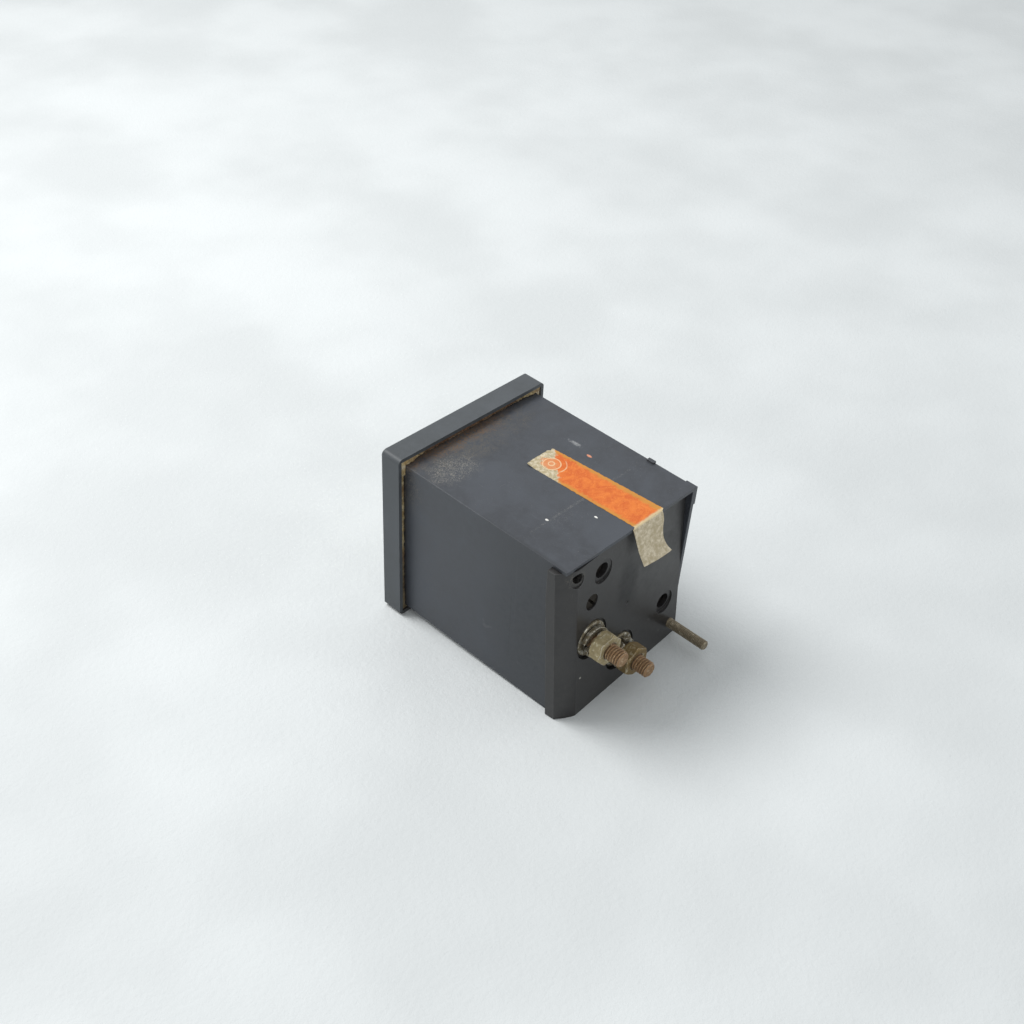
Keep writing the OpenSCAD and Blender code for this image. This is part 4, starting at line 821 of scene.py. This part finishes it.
def turnedRing(pieceName, axis, profile, material, columns=72, rough=0.0, degrees=40):
    # profile lists (radius, y) round a closed section
    points = []
    for r, y in profile:
        for c in range(columns):
            turn = 2 * math.pi * c / columns
            p = around(axis, r, turn, y)
            push = rough * noise.noise(p / 1.3)
            points.append(p + around((0, 0), 1, turn) * push)
    faces = ringFaces(len(profile), columns, closed=True)
    return flipInside(meshPiece(pieceName, points, faces, material, degrees))


washerLow, washerHigh = lowHigh("flat_washers")
washerForm = {"outer": 4.5, "inner": 2.15, "round": 0.22, "rough": 0.05}


def flatWasher(pieceName, axis):
    a, b, e = washerForm["inner"], washerForm["outer"], washerForm["round"]
    low, high = washerLow.y, washerHigh.y
    # stamped: rolled over at the top edge, sharp below
    profile = [(a, low), (a, high - 0.1), (a + 0.1, high), (b - 1.2, high), (b - e * 1.8, high - 0.02),
               (b - e, high - 0.06), (b - e * 0.4, high - e * 0.5), (b, high - e * 1.2), (b, low + 0.05),
               (b - 0.05, low)]
    return turnedRing(pieceName, axis, profile, washerMat, rough=washerForm["rough"])


springForm = {"inner": 2.15, "outer": 3.8, "thick": 1.1, "rise": 1.1, "sweep": 342, "round": 0.12, "steps": 90,
              "rough": 0.03, "roughSize": 0.8}


def springWasher(pieceName, axis, startDegrees):
    # a split ring, square in section, that climbs as it goes round
    form = springForm
    a, b, t, e = form["inner"], form["outer"], form["thick"], form["round"]
    section = [(a, e), (a + e, 0), (b - e, 0), (b - e * 0.3, e * 0.3), (b, e), (b, t - e),
               (b - e * 0.3, t - e * 0.3), (b - e, t), (a + e, t), (a, t - e)]
    rows = []
    for i in range(form["steps"] + 1):
        share = i / form["steps"]
        turn = math.radians(startDegrees + form["sweep"] * share)
        base = washerHigh.y + form["rise"] * share
        ring = []
        for r, y in section:
            p = around(axis, r, turn, base + y)
            ring.append(p + around((0, 0), 1, turn) * form["rough"] * noise.noise(p / form["roughSize"]))
        rows.append(ring)
    points, faces = sweptRows(rows)
    return flipInside(meshPiece(pieceName, points, faces, washerMat, 35))


for label, axis, turn in (("Positive", positiveAxis, 16), ("Negative", negativeAxis, 95)):
    stands(flatWasher("flatWasher" + label, axis), "plated_steel", caseBody, "flat_washers")
    stands(springWasher("springWasher" + label, axis, turn), "plated_steel", caseBody, "spring_washers")
print("stage: terminals ready")


def alongTable(table, share):
    for a, b in zip(table, table[1:]):
        if share <= b[0]:
            k = (share - a[0]) / (b[0] - a[0])
            return [p + (q - p) * k for p, q in zip(a, b)]
    return list(table[-1])


def smoothTable(table, share):
    # averages near shares so that the hanging end bends without kinks
    near = [alongTable(table, min(1, max(0, share + d))) for d in (-0.06, -0.03, 0, 0.03, 0.06)]
    return [sum(v) / len(near) for v in zip(*near)] if 0.06 < share < 0.94 else alongTable(table, share)


def labelSheet():
    form = labelForm
    top = lowHigh("paper_label")[1].z - 0.15
    topLength = form["edgeY"] - form["frontY"]
    points, faces = [], []
    for i in range(form["rows"] + 1):
        s = i / form["rows"] * (topLength + form["flap"])
        for j in range(form["columns"] + 1):
            u = j / form["columns"]
            if s <= topLength:
                share = s / topLength
                width = form["widthFront"] + (form["widthRear"] - form["widthFront"]) * share
                left = form["left"] + form["skew"] * s
                fray = 0.16 * noise.fractal(Vector((s * 1.3, u * 3, 5)), 0.7, 2.0, 4)
                x = left + fray * (1 - u) - (width + fray * u) * u
                # the front end is worn to a slant with a lifted corner
                front = 0.9 * (1 - u) ** 2 + 0.7 * u * u + 0.35 * noise.fractal(Vector((u * 7, 2, 1)), 0.7, 2.0, 4)
                front *= max(0, 1 - s / 4)
                y = form["frontY"] + s + front
                lift = 0.42 * max(0, 1 - s / 3.5) ** 2 * (1 - u) ** 2
                ripple = 0.05 * (noise.noise(Vector((x * 0.6, y * 0.35, 3))) + 0.6)
                ripple += 0.03 * noise.noise(Vector((x * 2, y * 2, 8)))
                z = top + form["lift"] + lift + max(0, ripple)
            else:
                share = (s - topLength) / form["flap"]
                _, back, drop, left, right = smoothTable(form["hang"], share)
                x = left + (right - left) * u
                y = form["edgeY"] + back + 0.25 * math.sin(math.pi * u) * share + 0.5 * share * share * (u - 0.4)
                z = top + 0.04 - drop + 0.12 * noise.noise(Vector((x * 0.7, drop * 0.7, 1)))
                if share < 0.12:
                    y += 0.12 * max(0, noise.fractal(Vector((x * 2.5, 4, 2)), 0.7, 2.0, 4))
            points.append((x, y, z))
    across = form["columns"] + 1
    for i in range(form["rows"]):
        for j in range(form["columns"]):
            a = i * across + j
            faces.append((a, a + 1, a + across + 1, a + across))
    piece = meshPiece("paperLabel", points, faces, labelMat, 60)
    thick = piece.modifiers.new("thick", "SOLIDIFY")
    thick.thickness = form["thick"] * mm
    thick.offset = 1.0
    return piece


stands(labelSheet(), "label_paper", caseBody, "paper_label")
print("stage: label ready")


# dial print: ticks, arc and plain numbers on the white plate
pivotX, pivotZ = axisOf("core_magnet")
dialForm = {"radius": 26.2, "long": 2.6, "middle": 1.9, "short": 1.3, "wide": 0.3, "thin": 0.16, "steps": 50,
            "numbers": [0, 10, 20, 30, 40, 50], "numberRadius": 20.6, "numberSize": 3.1, "ink": 0.02}


def dialPrint():
    form = dialForm
    face = lowHigh("dial_plate")[0].y
    points, faces = [], []

    def bar(inner, outer, turn, width):
        along = Vector((-math.cos(turn), 0, math.sin(turn)))
        aside = Vector((math.sin(turn), 0, math.cos(turn))) * width / 2
        centre = Vector((pivotX, 0, pivotZ))
        base = len(points)
        for y in (face, face - form["ink"]):
            for r, s in ((inner, -1), (outer, -1), (outer, 1), (inner, 1)):
                points.append(centre + along * r + aside * s + Vector((0, y, 0)))
        sides = ((0, 1, 2, 3), (7, 6, 5, 4), (0, 4, 5, 1), (1, 5, 6, 2), (2, 6, 7, 3), (3, 7, 4, 0))
        faces.extend(tuple(base + k for k in side) for side in sides)

    for step in range(form["steps"] + 1):
        turn = math.radians(90 * step / form["steps"])
        length = form["long"] if step % 10 == 0 else form["middle"] if step % 5 == 0 else form["short"]
        bar(form["radius"], form["radius"] + length, turn, form["wide"] if step % 10 == 0 else form["thin"])
    for step in range(90):
        turn = math.radians(step + 0.5)
        bar(form["radius"] - 0.1, form["radius"] + 0.1, turn, form["radius"] * math.radians(1.02))
    stands(flipInside(meshPiece("dialTicks", points, faces, inkMat, 30)), "pointer_black", caseBody)
    for number in form["numbers"]:
        turn = math.radians(90 * number / form["steps"])
        text = bpy.data.curves.new("dialNumber%d" % number, "FONT")
        text.body = str(number)
        text.size = form["numberSize"] * mm
        text.extrude = form["ink"] / 2 * mm
        text.align_x, text.align_y = "CENTER", "CENTER"
        holder = bpy.data.objects.new("numberCurve", text)
        bpy.context.scene.collection.objects.link(holder)
        radius = form["numberRadius"] + (1.2 if number in (0, 50) else 0)
        spot = Vector((pivotX - radius * math.cos(turn), face - form["ink"] / 2, pivotZ + radius * math.sin(turn)))
        spot += Vector((0.6, 0, 1.3)) if number == 0 else Vector((-1.3, 0, -0.4)) if number == 50 else Vector()
        turned = Matrix.Translation(spot * mm) @ Matrix.Rotation(math.pi / 2, 4, "X")
        graph = bpy.context.evaluated_depsgraph_get()
        mesh = bpy.data.meshes.new_from_object(holder.evaluated_get(graph))
        mesh.transform(turned)
        bpy.data.objects.remove(holder)
        stands(pieceOf(mesh, "dialNumber%d" % number, inkMat), "pointer_black", caseBody)


dialPrint()
print("stage: dial ready")

# CAD nodes that show as they are
cadFinishes = {"window": windowMat, "lock_nuts": brassMat, "solder_lugs": brassMat, "deep_screws": darkSteelMat,
               "slotted_screw": darkSteelMat, "rear_pillars": brassMat, "movement_plate": laminateMat,
               "yoke_pillars": brassMat, "yoke_ring": ironMat, "core_magnet": magnetMat, "core_spacers": brassMat,
               "front_bridge": sheetMat, "rear_bridge": sheetMat, "bridge_pillars": brassMat,
               "bridge_screws": smallSteelMat, "front_jewel_screw": smallSteelMat, "rear_jewel_screw": smallSteelMat,
               "jewel_lock_nut": brassMat, "zero_lever": sheetMat, "zero_screw": screwMat,
               "front_hairspring": springMat, "rear_hairspring": springMat, "rear_spring_anchor": brassMat,
               "coil_former": sheetMat, "coil_winding": windingMat, "front_pivot": smallSteelMat,
               "rear_pivot": smallSteelMat, "balance_cross": brassMat, "balance_weights": brassMat,
               "pointer": pointerMat, "dial_plate": dialMat, "dial_pillars": brassMat, "dial_screws": darkSteelMat,
               "resistor_bobbin": bobbinMat, "resistor_winding": windingMat, "lead_wires": wireMat}
for nodeName, material in cadFinishes.items():
    for materialSlot in nodes[nodeName].material_slots:
        materialSlot.material = material
unfinished = [n for n, o in nodes.items() if n not in cadFinishes and not o.hide_render]
print("stage: finishes set, unfinished:", unfinished)

# a pale floor that the bezel and the cover stand on, so it leans a little
floorForm = {"radius": 2600.0, "rise": 0.0367, "rings": 40, "columns": 64, "colour": "cfd2d2"}


def floorPiece():
    form = floorForm
    points, faces = [(0, 25, -24 + form["rise"] * 25)], []
    for r in range(1, form["rings"] + 1):
        radius = form["radius"] * (r / form["rings"]) ** 3 + 2 * r
        for c in range(form["columns"]):
            turn = 2 * math.pi * c / form["columns"]
            x, y = radius * math.cos(turn), 25 + radius * math.sin(turn)
            points.append((x, y, -24 + form["rise"] * y))
    for c in range(form["columns"]):
        faces.append((0, 1 + c, 1 + (c + 1) % form["columns"]))
    for r in range(form["rings"] - 1):
        for c in range(form["columns"]):
            d, a, b = (c + 1) % form["columns"], 1 + r * form["columns"], 1 + (r + 1) * form["columns"]
            faces.append((a + c, b + c, b + d, a + d))
    material, tree, shader = newMaterial("paleFloor", Specular_IOR_Level=0.2)
    spot = place(tree)
    grains = noiseOf(tree, spot, 1.6, 3.0, 0.7)
    swell = noiseOf(tree, spot, 60.0, 3.0, 0.5)
    colour = mix(tree, between(tree, swell, 0.3, 0.7), form["colour"], "dadddd")
    feed(tree, shader, Base_Color=colour, Roughness=calc(tree, "MULTIPLY_ADD", grains, 0.1, 0.7))
    bump(tree, shader, calc(tree, "MULTIPLY_ADD", swell, 6.0, grains), 0.5, 0.35)
    piece = flipInside(meshPiece("paleFloor", points, faces, material, 60))
    if piece.data.polygons[0].normal.z < 0:
        piece.data.flip_normals()
    return piece


floorPiece()

# plain soft light: an even pale world and one broad lamp above the front left
lightForm = {"world": 0.72, "lampPlace": (180, -420, 620), "lampSize": 420, "lampPower": 4.4}
world = bpy.data.worlds.new("paleWorld")
bpy.context.scene.world = world
world.use_nodes = True
tree = world.node_tree
tree.nodes.clear()
even = addNode(tree, "ShaderNodeBackground", {"Color": (0.95, 0.98, 1.0, 1), "Strength": lightForm["world"]})
seen = addNode(tree, "ShaderNodeBackground", {"Color": (0.93, 0.95, 0.95, 1), "Strength": 1.0})
path = addNode(tree, "ShaderNodeLightPath")
shows = calc(tree, "MAXIMUM", path.outputs["Is Camera Ray"],
             calc(tree, "MAXIMUM", path.outputs["Is Glossy Ray"], path.outputs["Is Transmission Ray"]))
both = addNode(tree, "ShaderNodeMixShader", {0: shows, 1: even.outputs[0], 2: seen.outputs[0]})
sink = addNode(tree, "ShaderNodeOutputWorld", {0: both.outputs[0]})
lamp = bpy.data.lights.new("softLamp", "AREA")
lamp.shape, lamp.size, lamp.energy = "DISK", lightForm["lampSize"] * mm, lightForm["lampPower"]
lampHolder = bpy.data.objects.new("softLamp", lamp)
bpy.context.scene.collection.objects.link(lampHolder)
lampHolder.location = Vector(lightForm["lampPlace"]) * mm
lampHolder.rotation_euler = (Vector((0, 25, 0)) * mm - lampHolder.location).to_track_quat("-Z", "Y").to_euler()

# the camera looks down on the back, the +X side and the top
cameraForm = {"place": (195.255, 192.575, 221.412), "turn": (50.5954, -2.4271, 134.4842), "lens": 50.18}
camera = bpy.data.cameras.new("mainCamera")
camera.lens, camera.sensor_width = cameraForm["lens"], 36
camera.clip_start, camera.clip_end = 0.01, 20
cameraHolder = bpy.data.objects.new("mainCamera", camera)
bpy.context.scene.collection.objects.link(cameraHolder)
cameraHolder.location = Vector(cameraForm["place"]) * mm
cameraHolder.rotation_euler = [math.radians(v) for v in cameraForm["turn"]]
bpy.context.scene.camera = cameraHolder
bpy.context.scene.view_settings.view_transform = "Standard"

print("stage: camera, light and sizes ready")
